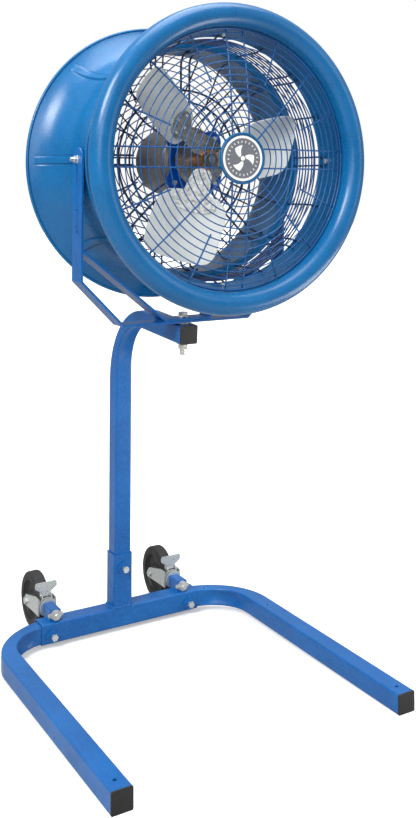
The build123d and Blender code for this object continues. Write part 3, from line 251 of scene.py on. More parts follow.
MOTOR = powder("motor_paint", srgb(112, 104, 98), srgb(158, 148, 138), srgb(74, 68, 66), rough=0.30, grain=0.6, coat=0.4)
CORE = metal("motor_core", srgb(120, 100, 84), 0.45, streak=(1, 60, 1), dark=srgb(80, 62, 50))
CAP = plastic("black_plastic", srgb(15, 15, 17), 0.52)
HUB = plastic("wheel_hub", srgb(28, 27, 28), 0.50, dust=srgb(70, 68, 68))
TYRE = plastic("wheel_rubber", srgb(34, 33, 34), 0.62, grain=900.0, dust=srgb(74, 72, 71))
CABLE = plastic("cable_jacket", srgb(18, 18, 20), 0.38)
BLACK = plastic("black_rubber", srgb(26, 27, 32), 0.5)


def badge_material():
    """Printed disc: white ring, dark grey field, a plain three-blade rotor sign. No lettering."""
    m, t, b, tc = nodetree("badge_print")
    o = tc.outputs["Object"]
    sep = t.nodes.new("ShaderNodeSeparateXYZ")
    t.links.new(o, sep.inputs[0])
    x = sep.outputs[0]
    z = mathn(t, "SUBTRACT", sep.outputs[2], FZ * MM)
    r = mathn(t, "SQRT", mathn(t, "ADD", mathn(t, "MULTIPLY", x, x), mathn(t, "MULTIPLY", z, z)))
    rm = mathn(t, "MULTIPLY", r, 20.0)          # 1.0 at 50 mm
    rings = ramp(t, rm, [
        (0.0, grey(0)), (0.780, grey(0)), (0.790, grey(1)), (0.875, grey(1)), (0.885, grey(0)), (1.0, grey(0))])
    ang = t.nodes.new("ShaderNodeMath")
    ang.operation = "ARCTAN2"
    t.links.new(z, ang.inputs[0])
    t.links.new(x, ang.inputs[1])
    swirl = mathn(t, "ADD", ang.outputs[0], mathn(t, "MULTIPLY", r, 26.0))
    blade = mathn(t, "SINE", mathn(t, "MULTIPLY", swirl, 3.0))
    blade = ramp(t, blade, [(0.40, grey(0)), (0.44, grey(1))])
    inside = ramp(t, rm, [(0.0, grey(0)), (0.125, grey(0)), (0.135, grey(1)), (0.50, grey(1)), (0.51, grey(0))])
    hub = ramp(t, rm, [(0.085, grey(1)), (0.095, grey(0))])
    sign = mathn(t, "MAXIMUM", mathn(t, "MULTIPLY", blade, inside), hub)
    ticks = mathn(t, "SINE", mathn(t, "MULTIPLY", ang.outputs[0], 24.0))
    ticks = ramp(t, ticks, [(0.70, grey(0)), (0.76, grey(0.8))])
    band = ramp(t, rm, [(0.60, grey(0)), (0.61, grey(1)), (0.68, grey(1)), (0.69, grey(0))])
    sign = mathn(t, "MAXIMUM", sign, mathn(t, "MULTIPLY", ticks, band))
    field = mixc(t, noise(t, o, 140.0, 4.0), srgb(96, 98, 105), srgb(114, 116, 122))
    c = mixc(t, mathn(t, "MAXIMUM", rings, sign), field, srgb(236, 238, 240))
    t.links.new(c, b.inputs["Base Color"])
    t.links.new(ramp(t, noise(t, o, 90.0, 3.0), [(0.3, grey(0.18)), (0.7, grey(0.3))]), b.inputs["Roughness"])
    t.links.new(bump(t, noise(t, o, 700.0, 2.0), 0.1, 0.0001), b.inputs["Normal"])
    b.inputs["Coat Weight"].default_value = 0.5
    return m


BADGE = badge_material()


def by_place(name, first, second, where):
    """Two plain metals on one piece, split by station and radius about the fan axis."""
    m, t, b, tc = nodetree(name)
    o = tc.outputs["Object"]
    sep = t.nodes.new("ShaderNodeSeparateXYZ")
    t.links.new(o, sep.inputs[0])
    x = sep.outputs[0]
    z = mathn(t, "SUBTRACT", sep.outputs[2], FZ * MM)
    s = mathn(t, "SUBTRACT", sep.outputs[1], LIP * MM)
    r = mathn(t, "SQRT", mathn(t, "ADD", mathn(t, "MULTIPLY", x, x), mathn(t, "MULTIPLY", z, z)))
    here = where(t, s, r)
    turned = noise(t, o, 60.0, 3.0, 0.6, (1, 30, 1))
    blot = noise(t, o, 150.0, 4.0, 0.65)
    c1 = mixc(t, ramp(t, turned, [(0.35, grey(0)), (0.65, grey(1))]), first[0], first[1])
    c2 = mixc(t, ramp(t, blot, [(0.42, grey(0)), (0.66, grey(0.8))]), second[0], second[1])
    t.links.new(mixc(t, here, c2, c1), b.inputs["Base Color"])
    b.inputs["Metallic"].default_value = 0.8
    t.links.new(ramp(t, blot, [(0.3, grey(0.24)), (0.7, grey(0.40))]), b.inputs["Roughness"])
    t.links.new(bump(t, turned, 0.12, 0.0002), b.inputs["Normal"])
    return m


BRASS = (srgb(226, 160, 100), srgb(150, 92, 50))
BRIGHT = (srgb(166, 168, 165), srgb(104, 106, 104))
DULL = (srgb(112, 114, 112), srgb(70, 72, 70))
# the spider's sleeve is bronze, its arms and pads bright steel; the bushing shows steel at its nose
SPIDER = by_place("spider_metal", BRASS, BRIGHT,
                  lambda t, s, r: mathn(t, "MULTIPLY", mathn(t, "LESS_THAN", r, 0.0205), mathn(t, "LESS_THAN", s, 0.1765)))
BUSHING = by_place("bushing_metal", BRASS, DULL, lambda t, s, r: mathn(t, "GREATER_THAN", s, 0.134))


# ============================================================ mesh helpers
def make(name, verts, faces, mat, body, replaces=(), slot=None, smooth=True, angle=None):
    me = bpy.data.meshes.new(name)
    me.from_pydata([tuple(v) for v in verts], [], [tuple(f) for f in faces])
    me.validate()
    me.update()
    ob = bpy.data.objects.new(name, me)
    bpy.context.scene.collection.objects.link(ob)
    bm = bmesh.new()
    bm.from_mesh(me)
    bmesh.ops.recalc_face_normals(bm, faces=bm.faces)
    bm.to_mesh(me)
    bm.free()
    for m in mat if isinstance(mat, (list, tuple)) else [mat]:
        me.materials.append(m)
    if smooth:
        for p in me.polygons:
            p.use_smooth = True
        if angle:
            me.set_sharp_from_angle(angle=math.radians(angle))
    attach(ob, body)
    if replaces:
        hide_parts(*replaces)
    return ob


class Mesh:
    """Collects tubes and other shapes into one piece, in millimetres."""

    def __init__(self):
        self.v, self.f = [], []

    def add(self, verts, faces):
        k = len(self.v)
        self.v += [tuple(c * MM for c in p) for p in verts]
        self.f += [tuple(i + k for i in f) for f in faces]

    def tube(self, pts, r, closed=False, n=10, r_end=None):
        pts = [Vector(p) for p in pts]
        m = len(pts)
        tan = []
        for i in range(m):
            a = pts[(i - 1) % m] if closed or i else pts[i]
            b = pts[(i + 1) % m] if closed or i < m - 1 else pts[i]
            tan.append((b - a).normalized())
        up = tan[0].orthogonal().normalized()
        verts, faces = [], []
        frames = []
        for i in range(m):
            up = (up - tan[i] * up.dot(tan[i])).normalized()
            frames.append((up.copy(), tan[i].cross(up)))
        if closed:
            # spread the closing twist so that the seam meets
            u0, w0 = frames[0]
            up_end = (up - tan[0] * up.dot(tan[0])).normalized()
            twist = math.atan2(up_end.dot(w0), up_end.dot(u0))
        else:
            twist = 0.0
        for i in range(m):
            u, w = frames[i]
            off = -twist * i / m
            for k in range(n):
                a = 2 * math.pi * k / n + off
                verts.append(pts[i] + (u * math.cos(a) + w * math.sin(a)) * r)
        rings = m if closed else m - 1
        for i in range(rings):
            j = (i + 1) % m
            for k in range(n):
                l = (k + 1) % n
                faces.append((i * n + k, i * n + l, j * n + l, j * n + k))
        if not closed:
            # rounded ends
            for end, i, sgn in ((0, 0, -1), (1, m - 1, 1)):
                base = i * n
                u, w = frames[i]
                prev = [base + k for k in range(n)]
                for q, (rr, dd) in enumerate(((0.86, 0.32), (0.5, 0.5))):
                    new = []
                    for k in range(n):
                        a = 2 * math.pi * k / n
                        verts.append(pts[i] + (u * math.cos(a) + w * math.sin(a)) * r * rr + tan[i] * sgn * r * dd)
                        new.append(len(verts) - 1)
                    for k in range(n):
                        l = (k + 1) % n
                        faces.append((prev[k], prev[l], new[l], new[k]))
                    prev = new
                faces.append(tuple(prev))
        self.add(verts, faces)

    def done(self, name, mat, body, **kw):
        return make(name, self.v, self.f, mat, body, **kw)


def polar(s, r, phi, side=0.0):
    a = math.radians(phi)
    return Vector((r * math.cos(a) - side * math.sin(a), LIP + s, FZ + r * math.sin(a) + side * math.cos(a)))


def circle(s, r, n=192):
    return [polar(s, r, 360.0 * i / n) for i in range(n)]


def smooth_path(pts, per=10):
    """Catmull-Rom through the points."""
    pts = [Vector(p) for p in pts]
    out = []
    ext = [pts[0] * 2 - pts[1]] + pts + [pts[-1] * 2 - pts[-2]]
    for i in range(1, len(ext) - 2):
        p0, p1, p2, p3 = ext[i - 1:i + 3]
        for k in range(per):
            t = k / per
            out.append(0.5 * ((2 * p1) + (p2 - p0) * t + (2 * p0 - 5 * p1 + 4 * p2 - p3) * t * t
                              + (3 * p1 - p0 - 3 * p2 + p3) * t ** 3))
    out.append(pts[-1])
    return out


def arc3(a, b, c, n):
    """Points on the circle through three 2-D points, from a over b to c."""
    ax, ay = a
    bx, by = b
    cx, cy = c
    d = 2 * (ax * (by - cy) + bx * (cy - ay) + cx * (ay - by))
    ux = ((ax * ax + ay * ay) * (by - cy) + (bx * bx + by * by) * (cy - ay) + (cx * cx + cy * cy) * (ay - by)) / d
    uy = ((ax * ax + ay * ay) * (cx - bx) + (bx * bx + by * by) * (ax - cx) + (cx * cx + cy * cy) * (bx - ax)) / d
    r = math.hypot(ax - ux, ay - uy)
    a0, a1, a2 = (math.atan2(p[1] - uy, p[0] - ux) for p in (a, b, c))
    def norm(v, ref, sign):
        while sign * (v - ref) < 0:
            v += sign * 2 * math.pi
        return v
    for sign in (1, -1):
        m1 = norm(a1, a0, sign)
        m2 = norm(a2, a0, sign)
        if sign * (m1 - a0) <= sign * (m2 - a0):
            return [(ux + r * math.cos(a0 + (m2 - a0) * i / n), uy + r * math.sin(a0 + (m2 - a0) * i / n))
                    for i in range(n + 1)]


def sheet(line, t, n_end=4):
    """Closed outline of a sheet of thickness t along a centre line of (s, r) points, with rounded edges."""
    p = np.array(line, float)
    d = np.gradient(p, axis=0)
    d /= np.linalg.norm(d, axis=1)[:, None]
    nrm = np.c_[-d[:, 1], d[:, 0]]
    a = p + nrm * t / 2
    b = p - nrm * t / 2
    def cap(c, n0, d0):
        out = []
        for i in range(1, n_end):
            w = math.pi * i / n_end
            out.append(c + n0 * t / 2 * math.cos(w) + d0 * t / 2 * math.sin(w))
        return out
    pts = list(a) + cap(p[-1], nrm[-1], d[-1]) + list(b[::-1]) + cap(p[0], -nrm[0], -d[0])
    return [tuple(q) for q in pts]


def revolve(outline, angles, shift=None):
    """Turns a closed (s, r) outline round the fan axis; shift(s, r, phi) moves a point outwards."""
    verts, faces = [], []
    n, m = len(outline), len(angles)
    for phi in angles:
        for s, r in outline:
            verts.append(polar(s, r + (shift(s, r, phi) if shift else 0.0), phi))
    for i in range(m):
        j = (i + 1) % m
        for k in range(n):
            l = (k + 1) % n
            faces.append((i * n + k, i * n + l, j * n + l, j * n + k))
    return verts, faces


# ============================================================ rear drum with pressed ribs
RIB_EVERY = 45


def flare_r(s):
    u = max(0.0, (s - 284.0) / 105.0)
    return 232.25 + 94.0 * (1 - math.sqrt(max(0.0, 1 - u * u)))


def smoothstep(x):
    x = max(0.0, min(1.0, x))
    return x * x * (3 - 2 * x)


def rib_shift(s, r, phi):
    """Pressed ribs: a flat-topped bead with a fine groove on each side; short ones behind the pivots."""
    if s < 194 or s > 379:
        return 0.0
    near = round(phi / RIB_EVERY) * RIB_EVERY
    lean = -3.8 * smoothstep((385.0 - s) / 100.0) if near == 135 else 0.0     # this one was pressed a little askew
    d = abs(math.radians(phi - near - lean)) * max(r, 200.0)
    if d > 14:
        return dent(s, phi)
    begin = 289.5 if near % 180 == 0 else 203.0      # clear of the yoke arms at both tilt limits
    along = smoothstep((s - begin + 6) / 8) * smoothstep((378.0 - s) / 6)
    top = smoothstep((8.0 - d) / 2.4)
    groove = math.exp(-((d - 9.2) / 1.5) ** 2)
    return along * (2.5 * top - 1.5 * groove) + dent(s, phi)


DENTS = [(298, 147, 6.0, 9.0, 0.9), (330, 118, 14, 9.0, 0.35), (232, 204, 9, 14, 0.3), (322, 24, 10, 12, 0.4),
         (250, 312, 10, 16, 0.35)]


def dent(s, phi):
    v = 0.0
    for ds, dphi, ws, wt, depth in DENTS:
        dp = (phi - dphi + 180) % 360 - 180
        x = (s - ds) / ws
        y = math.radians(dp) * 240 / wt
        q = x * x + y * y
        if q < 6:
            v -= depth * math.exp(-q * 1.2)
    # slow out-of-round of a rolled sheet
    return v + 0.18 * math.sin(math.radians(phi * 3 + 40)) * smoothstep((s - 215) / 60)


line = [(187.1, 247.0), (187.1, 243), (187.1, 239), (187.2, 236.0), (187.9, 233.9), (189.4, 232.7), (191.5, 232.25)]
line += [(s, 232.25) for s in np.arange(194, 284, 3.0)]
line += [(s, flare_r(s)) for s in np.arange(284, 383.9, 2.0)] + [(384.0, flare_r(384.0))]
angles = set()
for i in range(288):
    angles.add(round(i * 1.25, 3))
for k in range(8):
    for j in range(-58 if k == 3 else -28, 29):
        angles.add(round((k * 45 + j * 0.125) % 360, 3))
angles = sorted(angles)
drum = Mesh()
drum.add(*revolve(sheet(line, 1.5), angles, rib_shift))
# wired rim
rim_r = flare_r(384.0)
drum.add(*revolve([(384.0 + 3.4 * math.cos(a), rim_r + 3.4 * math.sin(a)) for a in np.linspace(0, 2 * math.pi, 15)[:-1]],
                  [i * 1.25 for i in range(288)]))
# the flange edge is beaded over a wire
drum.add(*revolve([(188.0 + 2.0 * math.cos(a), 246.0 + 2.0 * math.sin(a)) for a in np.linspace(0, 2 * math.pi, 11)[:-1]],
                  [i * 1.5 for i in range(240)]))
drum.done("drum_shell", FAN, "head", replaces=("rear_drum",), slot="fan_paint", angle=50)

# ============================================================ front bell
line = [(100.0, 249.5)] + [(100 + (52 - 100) * i / 12, 249.5 + 9.0 * i / 12) for i in range(1, 12)]
line += arc3((52, 258.5), (38, 260.3), (24, 260.9), 8)
line += arc3((24, 260.9), (2.2, 282.7), (24, 304.5), 44)[1:]
line += arc3((24, 304.5), (35.5, 301.0), (40.5, 292.0), 12)[1:]


def bell_shift(s, r, phi):
    """Shallow print-through of the cage rods welded inside the rear of the bell."""
    if s < 74 or r > 262:
        return 0.0
    v = 0.0
    near = round(phi / 22.5) * 22.5
    sides = (-9.0, 9.0) if round(near / 22.5) % 2 == 0 else (0.0,)
    for sd in sides:
        d = (math.radians(phi - near)) * 252 - sd
        v = max(v, 0.55 * math.exp(-(d / 2.4) ** 2) * smoothstep((s - 80) / 5) * smoothstep((101 - s) / 4))
    return v


angles = set(round(i * 0.75, 3) for i in range(480))
bell = Mesh()
bell.add(*revolve(sheet(line, 2.0, 6), sorted(angles), bell_shift))
bell.add(*revolve([(100.0 + 2.6 * math.cos(a), 249.5 + 2.6 * math.sin(a)) for a in np.linspace(0, 2 * math.pi, 15)[:-1]],
                  [i * 1.25 for i in range(288)]))
bell_ob = bell.done("bell_shell", FAN, "head", replaces=("front_bell",), slot="fan_paint", angle=50)

# ============================================================ wire work
N = 192


def wobble_circle(s, r, seed, amp=0.35):
    """A ring bent from wire: round to a fraction of a millimetre."""
    rng = random.Random(seed)
    a, b, c = (rng.uniform(0, 360) for _ in range(3))
    out = []
    for i in range(N):
        phi = 360.0 * i / N
        d = amp * (0.6 * math.sin(math.radians(2 * phi + a)) + 0.4 * math.sin(math.radians(3 * phi + b)))
        out.append(polar(s + 0.5 * amp * math.sin(math.radians(2 * phi + c)), r + d, phi))
    return out


def weld_dot(mesh, p, r=2.2, n=8, flat=0.8):
    """A small resistance-weld bead where two wires cross."""
    verts, faces = [], []
    p = Vector(p)
    rows = 5
    for i in range(rows):
        a = math.pi * (i + 1) / (rows + 1)
        for k in range(n):
            b = 2 * math.pi * k / n
            verts.append(p + Vector((r * math.sin(a) * math.cos(b), r * flat * math.cos(a), r * math.sin(a) * math.sin(b))))
    top = len(verts)
    verts.append(p + Vector((0, r * flat, 0)))
    verts.append(p - Vector((0, r * flat, 0)))
    for i in range(rows - 1):
        for k in range(n):
            l = (k + 1) % n
            faces.append((i * n + k, i * n + l, (i + 1) * n + l, (i + 1) * n + k))
    for k in range(n):
        l = (k + 1) % n
        faces.append((top, l, k))
        faces.append((top + 1, (rows - 1) * n + k, (rows - 1) * n + l))
    mesh.add(verts, faces)


def dome(r):
    return 34.0 - 30.0 * (1 - (r / 259.0) ** 2)


# front guard
g = Mesh()
for i in range(14):
    r = 66.0 + 14.0 * i
    g.tube(wobble_circle(dome(r), r, 100 + i), 1.25, closed=True, n=8)
g.tube(circle(34.0, 256.9), 2.4, closed=True, n=10)
g.tube(circle(dome(47.0), 47.0, 96), 1.6, closed=True, n=8)


def front_spoke(phi, side, r0):
    pts = []
    for k in range(15):
        rr = r0 + (256.6 - r0) * k / 14
        x = math.sqrt(max(0.0, rr * rr - side * side))
        pts.append(polar(dome(rr) + 2.3, x, phi, side))
    return pts


for i in range(16):
    phi = i * 22.5
    if i % 4 == 0:
        todo = [(-19.0, 43.0), (19.0, 43.0)]
    elif i % 2 == 0:
        todo = [(0.0, 43.0)]
    else:
        todo = [(0.0, 158.5)]
    for side, r0 in todo:
        g.tube(front_spoke(phi, side, r0), 1.7, n=10)
        for q in range(14):
            r = 66.0 + 14.0 * q
            if r > r0 + 3:
                x = math.sqrt(r * r - side * side)
                weld_dot(g, polar(dome(r) + 1.1, x, phi, side), 1.9, 6)
g.done("front_guard_wires", WIRE_FRONT, "head", replaces=("front_guard",), slot="fan_paint")

# gap cage
g = Mesh()
for i in range(7):
    g.tube(wobble_circle(112.0 + i * 11.5, 244.2, 200 + i, 0.15), 1.6, closed=True, n=8)
for i in range(16):
    phi = i * 22.5
    for side in ((-9.0, 9.0) if i % 2 == 0 else (0.0,)):
        pts = smooth_path([polar(82.0, 248.8, phi, side), polar(92, 245.6, phi, side), polar(101.0, 242.6, phi, side),
                           polar(108.0, 241.6, phi, side), polar(140, 241.6, phi, side), polar(185.9, 241.6, phi, side)], 5)
        g.tube(pts, 2.0, n=10)
g.done("gap_cage_wires", WIRE_SHADE_PAINTED, "head", replaces=("gap_cage",), slot="dark_wire")


# rear guard
def back(r):
    return 372.0 + 12.0 * (1 - (r / 290.0) ** 2)


g = Mesh()
for i in range(14):
    r = 60.0 + 15.0 * i
    g.tube(wobble_circle(back(r), r, 300 + i), 1.25, closed=True, n=8)
g.tube(circle(372.75, 270.78), 2.2, closed=True, n=10)
g.tube(circle(back(48.0), 48.0, 96), 2.0, closed=True, n=8)
for i in range(16):
    phi = i * 22.5
    double = i % 2 == 0
    r0 = 44.0 if double else 144.0
    for side in ((-9.0, 9.0) if double else (0.0,)):
        pts = []
        for k in range(13):
            rr = r0 + (268.7 - r0) * k / 12
            pts.append(polar(back(rr) - 2.5, math.sqrt(rr * rr - side * side), phi, side))
        g.tube(pts, 1.8, n=10)
g.done("rear_guard_wires", WIRE_SHADE_PAINTED, "head", replaces=("rear_guard",), slot="dark_wire")

# motor basket
g = Mesh()
BS = 246.0
for i in range(16):
    phi = i * 22.5
    double = i % 2 == 0
    for side in ((-10.0, 10.0) if double else (0.0,)):
        rad = 2.3 if double else 1.9
        pts = [(207.0, 228.3), (222.0, 227.9), (234.0, 225.0), (242.0, 217.0), (BS, 204.0), (BS, 170.0), (BS, 140.0)]
        if double and i % 4 == 2:
            pts += [(BS - 1, 120.0), (BS - 12, 106.0), (222.0, 88.0), (208.6, 73.0)]
        else:
            pts += [(BS, 119.5)]
        g.tube(smooth_path([polar(s, math.sqrt(r * r - side * side), phi, side) for s, r in pts], 6), rad, n=10)
g.tube(circle(249.6, 151.3), 2.3, closed=True, n=10)
g.tube(circle(249.4, 126.7), 2.1, closed=True, n=10)
g.done("motor_basket_wires", WIRE_SHADE_PAINTED, "head", replaces=("motor_basket",), slot="dark_wire")


# ============================================================ bent square tubes
def section(depth, half, rc, cave=0.0, bulge=0.0, per=9, corner=5):
    """Rounded square section as (u, w): u runs 0 inner wall to 1 outer wall, w sideways in mm."""
    ru = rc / depth
    pts = []
    corners = ((1 - ru, half - rc, 0), (ru, half - rc, 90), (ru, -(half - rc), 180), (1 - ru, -(half - rc), 270))
    for i, (cu, cw, a0) in enumerate(corners):
        nu, nw, _ = corners[(i + 1) % 4]
        for k in range(corner + 1):
            a = math.radians(a0 + 90 * k / corner)
            # angle 0 points to the outer wall, 90 to +w
            pts.append((cu + ru * math.cos(a - 0) if False else cu + ru * math.cos(a), cw + rc * math.sin(a)))
        a = math.radians(a0 + 90)
        p = (cu + ru * math.cos(a), cw + rc * math.sin(a))
        a = math.radians(a0 + 90)
        q = (nu + ru * math.cos(a), nw + rc * math.sin(a))
        for k in range(1, per):
            t = k / per
            pts.append((p[0] + (q[0] - p[0]) * t, p[1] + (q[1] - p[1]) * t))
    out = []
    for u, w in pts:
        f = max(0.0, 1 - (w / (half - 2.0)) ** 2)
        if cave and u < 0.5:
            u2 = u + cave / depth * f ** 1.3 * (1 - 2 * u)
        else:
            u2 = u
        side = 1 + bulge / half * math.sin(math.pi * min(1, max(0, u))) if abs(w) > half - rc - 0.01 else 1
        out.append((u2, w * side))
    return out


def bent_tube(name, stations, side_dir, half, rc, mat, body, replaces, slot, angle=40):
    """stations: (outer point, inner point, cave, bulge) in mm along the tube."""
    m = Mesh()
    verts, faces = [], []
    n = None
    for o, i, cave, bulge in stations:
        o, i = Vector(o), Vector(i)
        depth = (o - i).length
        sec = section(depth, half, rc, cave, bulge)
        n = len(sec)
        for u, w in sec:
            verts.append(i + (o - i) * u + Vector(side_dir) * w)
    k = len(stations)
    for a in range(k - 1):
        for b in range(n):
            c = (b + 1) % n
            faces.append((a * n + b, a * n + c, (a + 1) * n + c, (a + 1) * n + b))
    faces.append(tuple(range(n)))
    faces.append(tuple((k - 1) * n + b for b in range(n)))
    m.add(verts, faces)
    return m.done(name, mat, body, replaces=replaces, slot=slot, angle=angle)


def drill(ob, centre, axis, r, length):
    """Cuts a round hole with a clean Boolean, applied to the mesh."""
    me = bpy.data.meshes.new("drill")
    bm = bmesh.new()
    bmesh.ops.create_cone(bm, cap_ends=True, segments=32, radius1=r * MM, radius2=r * MM, depth=length * MM)
    bm.to_mesh(me)
    bm.free()
    c = bpy.data.objects.new("drill", me)
    bpy.context.scene.collection.objects.link(c)
    c.rotation_mode = "QUATERNION"
    c.rotation_quaternion = Vector((0, 0, 1)).rotation_difference(Vector(axis))
    c.location = Vector(centre) * MM
    bpy.context.view_layer.update()
    mod = ob.modifiers.new("hole", "BOOLEAN")
    mod.object = c
    mod.operation = "DIFFERENCE"
    mod.solver = "EXACT"
    bpy.context.view_layer.update()
    dg = bpy.context.evaluated_depsgraph_get()
    new = bpy.data.meshes.new_from_object(ob.evaluated_get(dg))
    ob.modifiers.clear()
    ob.data = new
    bpy.data.objects.remove(c)


def hump(t, a=0.0, b=1.0):
    t = (t - a) / (b - a)
    return math.sin(math.pi * t) ** 2 if 0 < t < 1 else 0.0


for sx, name in ((-1, "left"), (1, "right")):
    st = []
    for k in range(7):
        t = k / 6
        st.append(((62 + 93 * t, 20, 20), (62 + 118 * t, -20, 20), 0, 0))
    for k in range(1, 48):
        t = k / 48
        th = math.radians(90 * t)
        o = (155 + 165 * math.sin(th), -145 + 165 * math.cos(th), 20)
        i = (180 + 100 * math.sin(th), -120 + 100 * math.cos(th), 20)
        # the inner wall buckles twice along the bend
        cave = 5.5 * hump(t, 0.06, 1.0) + 1.6 * hump(t, 0.14, 0.46) + 1.6 * hump(t, 0.52, 0.90)
        st.append((o, i, cave, 1.1 * hump(t)))
    for k in range(13):
        t = k / 12
        st.append(((320, -145 + (-701 + 145) * t, 20), (280, -120 + (-701 + 120) * t, 20), 0, 0))
    st = [((sx * o[0], o[1], o[2]), (sx * i[0], i[1], i[2]), c, b) for o, i, c, b in st]
    ob = bent_tube(f"leg_tube_{name}", st, (0, 0, 1), 20.0, 3.5, STAND, "stand", (f"leg_{name}",), "stand_paint")
    drill(ob, (sx * 300, -672, 20), (0, 0, 1), 4.0, 60)
    for p in ob.data.polygons:
        p.use_smooth = True
    ob.data.set_sharp_from_angle(angle=math.radians(40))

# mast: the outer arc of the goose neck is larger than the inner one, which is crushed
DROP = math.radians(3.8)
co = (20 - 181.0, 751.0 - 181.0)
nrm = (-math.sin(DROP), math.cos(DROP))
ri = 110.0
ci_y = -20 - ri
ci = (ci_y, (nrm[0] * co[0] + nrm[1] * co[1] + 181.0 - 40.0 - ri - nrm[0] * ci_y) / nrm[1])
d = (-math.cos(DROP), -math.sin(DROP))
o_end = (co[0] + 181.0 * nrm[0], co[1] + 181.0 * nrm[1])
i_end = (ci[0] + ri * nrm[0], ci[1] + ri * nrm[1])
tt = (o_end[0] + 353.0) / math.cos(DROP)
o_tip = (o_end[0] + d[0] * tt, o_end[1] + d[1] * tt)
i_tip = (o_tip[0] - nrm[0] * 40, o_tip[1] - nrm[1] * 40)
st = []
for k in range(15):
    t = k / 14
    st.append(((0, 20, 45 + (co[1] - 45) * t), (0, -20, 45 + (ci[1] - 45) * t), 0, 0))
sweep = math.pi / 2 + DROP
for k in range(1, 48):
    t = k / 48
    a = sweep * t
    cave = 5.0 * hump(t, 0.0, 1.0) + 1.5 * hump(t, 0.08, 0.44) + 1.8 * hump(t, 0.5, 0.92)
    st.append(((0, co[0] + 181 * math.cos(a), co[1] + 181 * math.sin(a)),
               (0, ci[0] + ri * math.cos(a), ci[1] + ri * math.sin(a)), cave, 1.2 * hump(t)))
for k in range(9):
    t = k / 8
    st.append(((0, o_end[0] + (o_tip[0] - o_end[0]) * t, o_end[1] + (o_tip[1] - o_end[1]) * t),
               (0, i_end[0] + (i_tip[0] - i_end[0]) * t, i_end[1] + (i_tip[1] - i_end[1]) * t), 0, 0))
bent_tube("mast_tube", st, (1, 0, 0), 20.0, 3.5, STAND, "stand", ("mast",), "stand_paint")


# ============================================================ weld beads
def weld_run(mesh, path, r=2.6, pitch=3.6, seed=1):
    """A hand-laid fillet weld: overlapping rounded drops along a path."""
    rng = random.Random(seed)
    pts = [Vector(p) for p in path]
    dist = [0.0]
    for a, b in zip(pts, pts[1:]):
        dist.append(dist[-1] + (b - a).length)
    total = dist[-1]
    m = max(4, int(total / pitch * 5))
    line, radii = [], []
    for i in range(m + 1):
        s = total * i / m
        j = max(k for k in range(len(dist)) if dist[k] <= s + 1e-6)
        j = min(j, len(pts) - 2)
        q = pts[j].lerp(pts[j + 1], (s - dist[j]) / (dist[j + 1] - dist[j]))
        ph = (s / pitch) % 1.0
        line.append(q)
        radii.append(r * (0.84 + 0.20 * math.sqrt(max(0, math.sin(math.pi * ph))) + rng.uniform(-0.02, 0.02)))
    n = 10
    verts, faces = [], []
    for i, p in enumerate(line):
        a = line[max(0, i - 1)]
        b = line[min(m, i + 1)]
        t = (b - a).normalized()
        u = t.orthogonal().normalized()
        w = t.cross(u)
        rr = radii[i] * (0.35 if i in (0, m) else 1)
        for k in range(n):
            c = 2 * math.pi * k / n
            verts.append(p + (u * math.cos(c) + w * math.sin(c)) * rr)
    for i in range(m):
        for k in range(n):
            l = (k + 1) % n
            faces.append((i * n + k, i * n + l, (i + 1) * n + l, (i + 1) * n + k))
    faces.append(tuple(range(n)))
    faces.append(tuple(m * n + k for k in range(n)))
    mesh.add(verts, faces)


w = Mesh()
q = 23.0
weld_run(w, [(-q, -q + 1, 43), (q, -q + 1, 43)], 2.2, seed=3)
weld_run(w, [(-q, q - 1, 43), (q, q - 1, 43)], 2.2, seed=4)
weld_run(w, [(-q, -q + 1, 43), (-q, q - 1, 43)], 2.8, seed=5)
weld_run(w, [(q, -q + 1, 43), (q, q - 1, 43)], 2.8, seed=6)
for cx in (-161.0, 161.0):
    h = 12.5
    weld_run(w, [(cx - h, -9.5, 43.2), (cx - h, 22.5, 43.2)], 2.2, seed=7)
    weld_run(w, [(cx + h, -9.5, 43.2), (cx + h, 22.5, 43.2)], 2.2, seed=8)
w.done("frame_welds", STAND, "stand", slot="stand_paint")

w = Mesh()
zb = 898.0
for sx in (-1, 1):
    xx = sx * 234.6
    weld_run(w, [(xx, PAN_Y - 23, zb - 0.5), (xx, PAN_Y + 23, zb - 0.5)], 2.0, seed=9)
    weld_run(w, [(sx * 52, PAN_Y - 24, 749.2), (sx * 52, PAN_Y + 24, 749.2)], 1.6, seed=10)
w.done("yoke_welds", STAND, "yoke", slot="stand_paint")

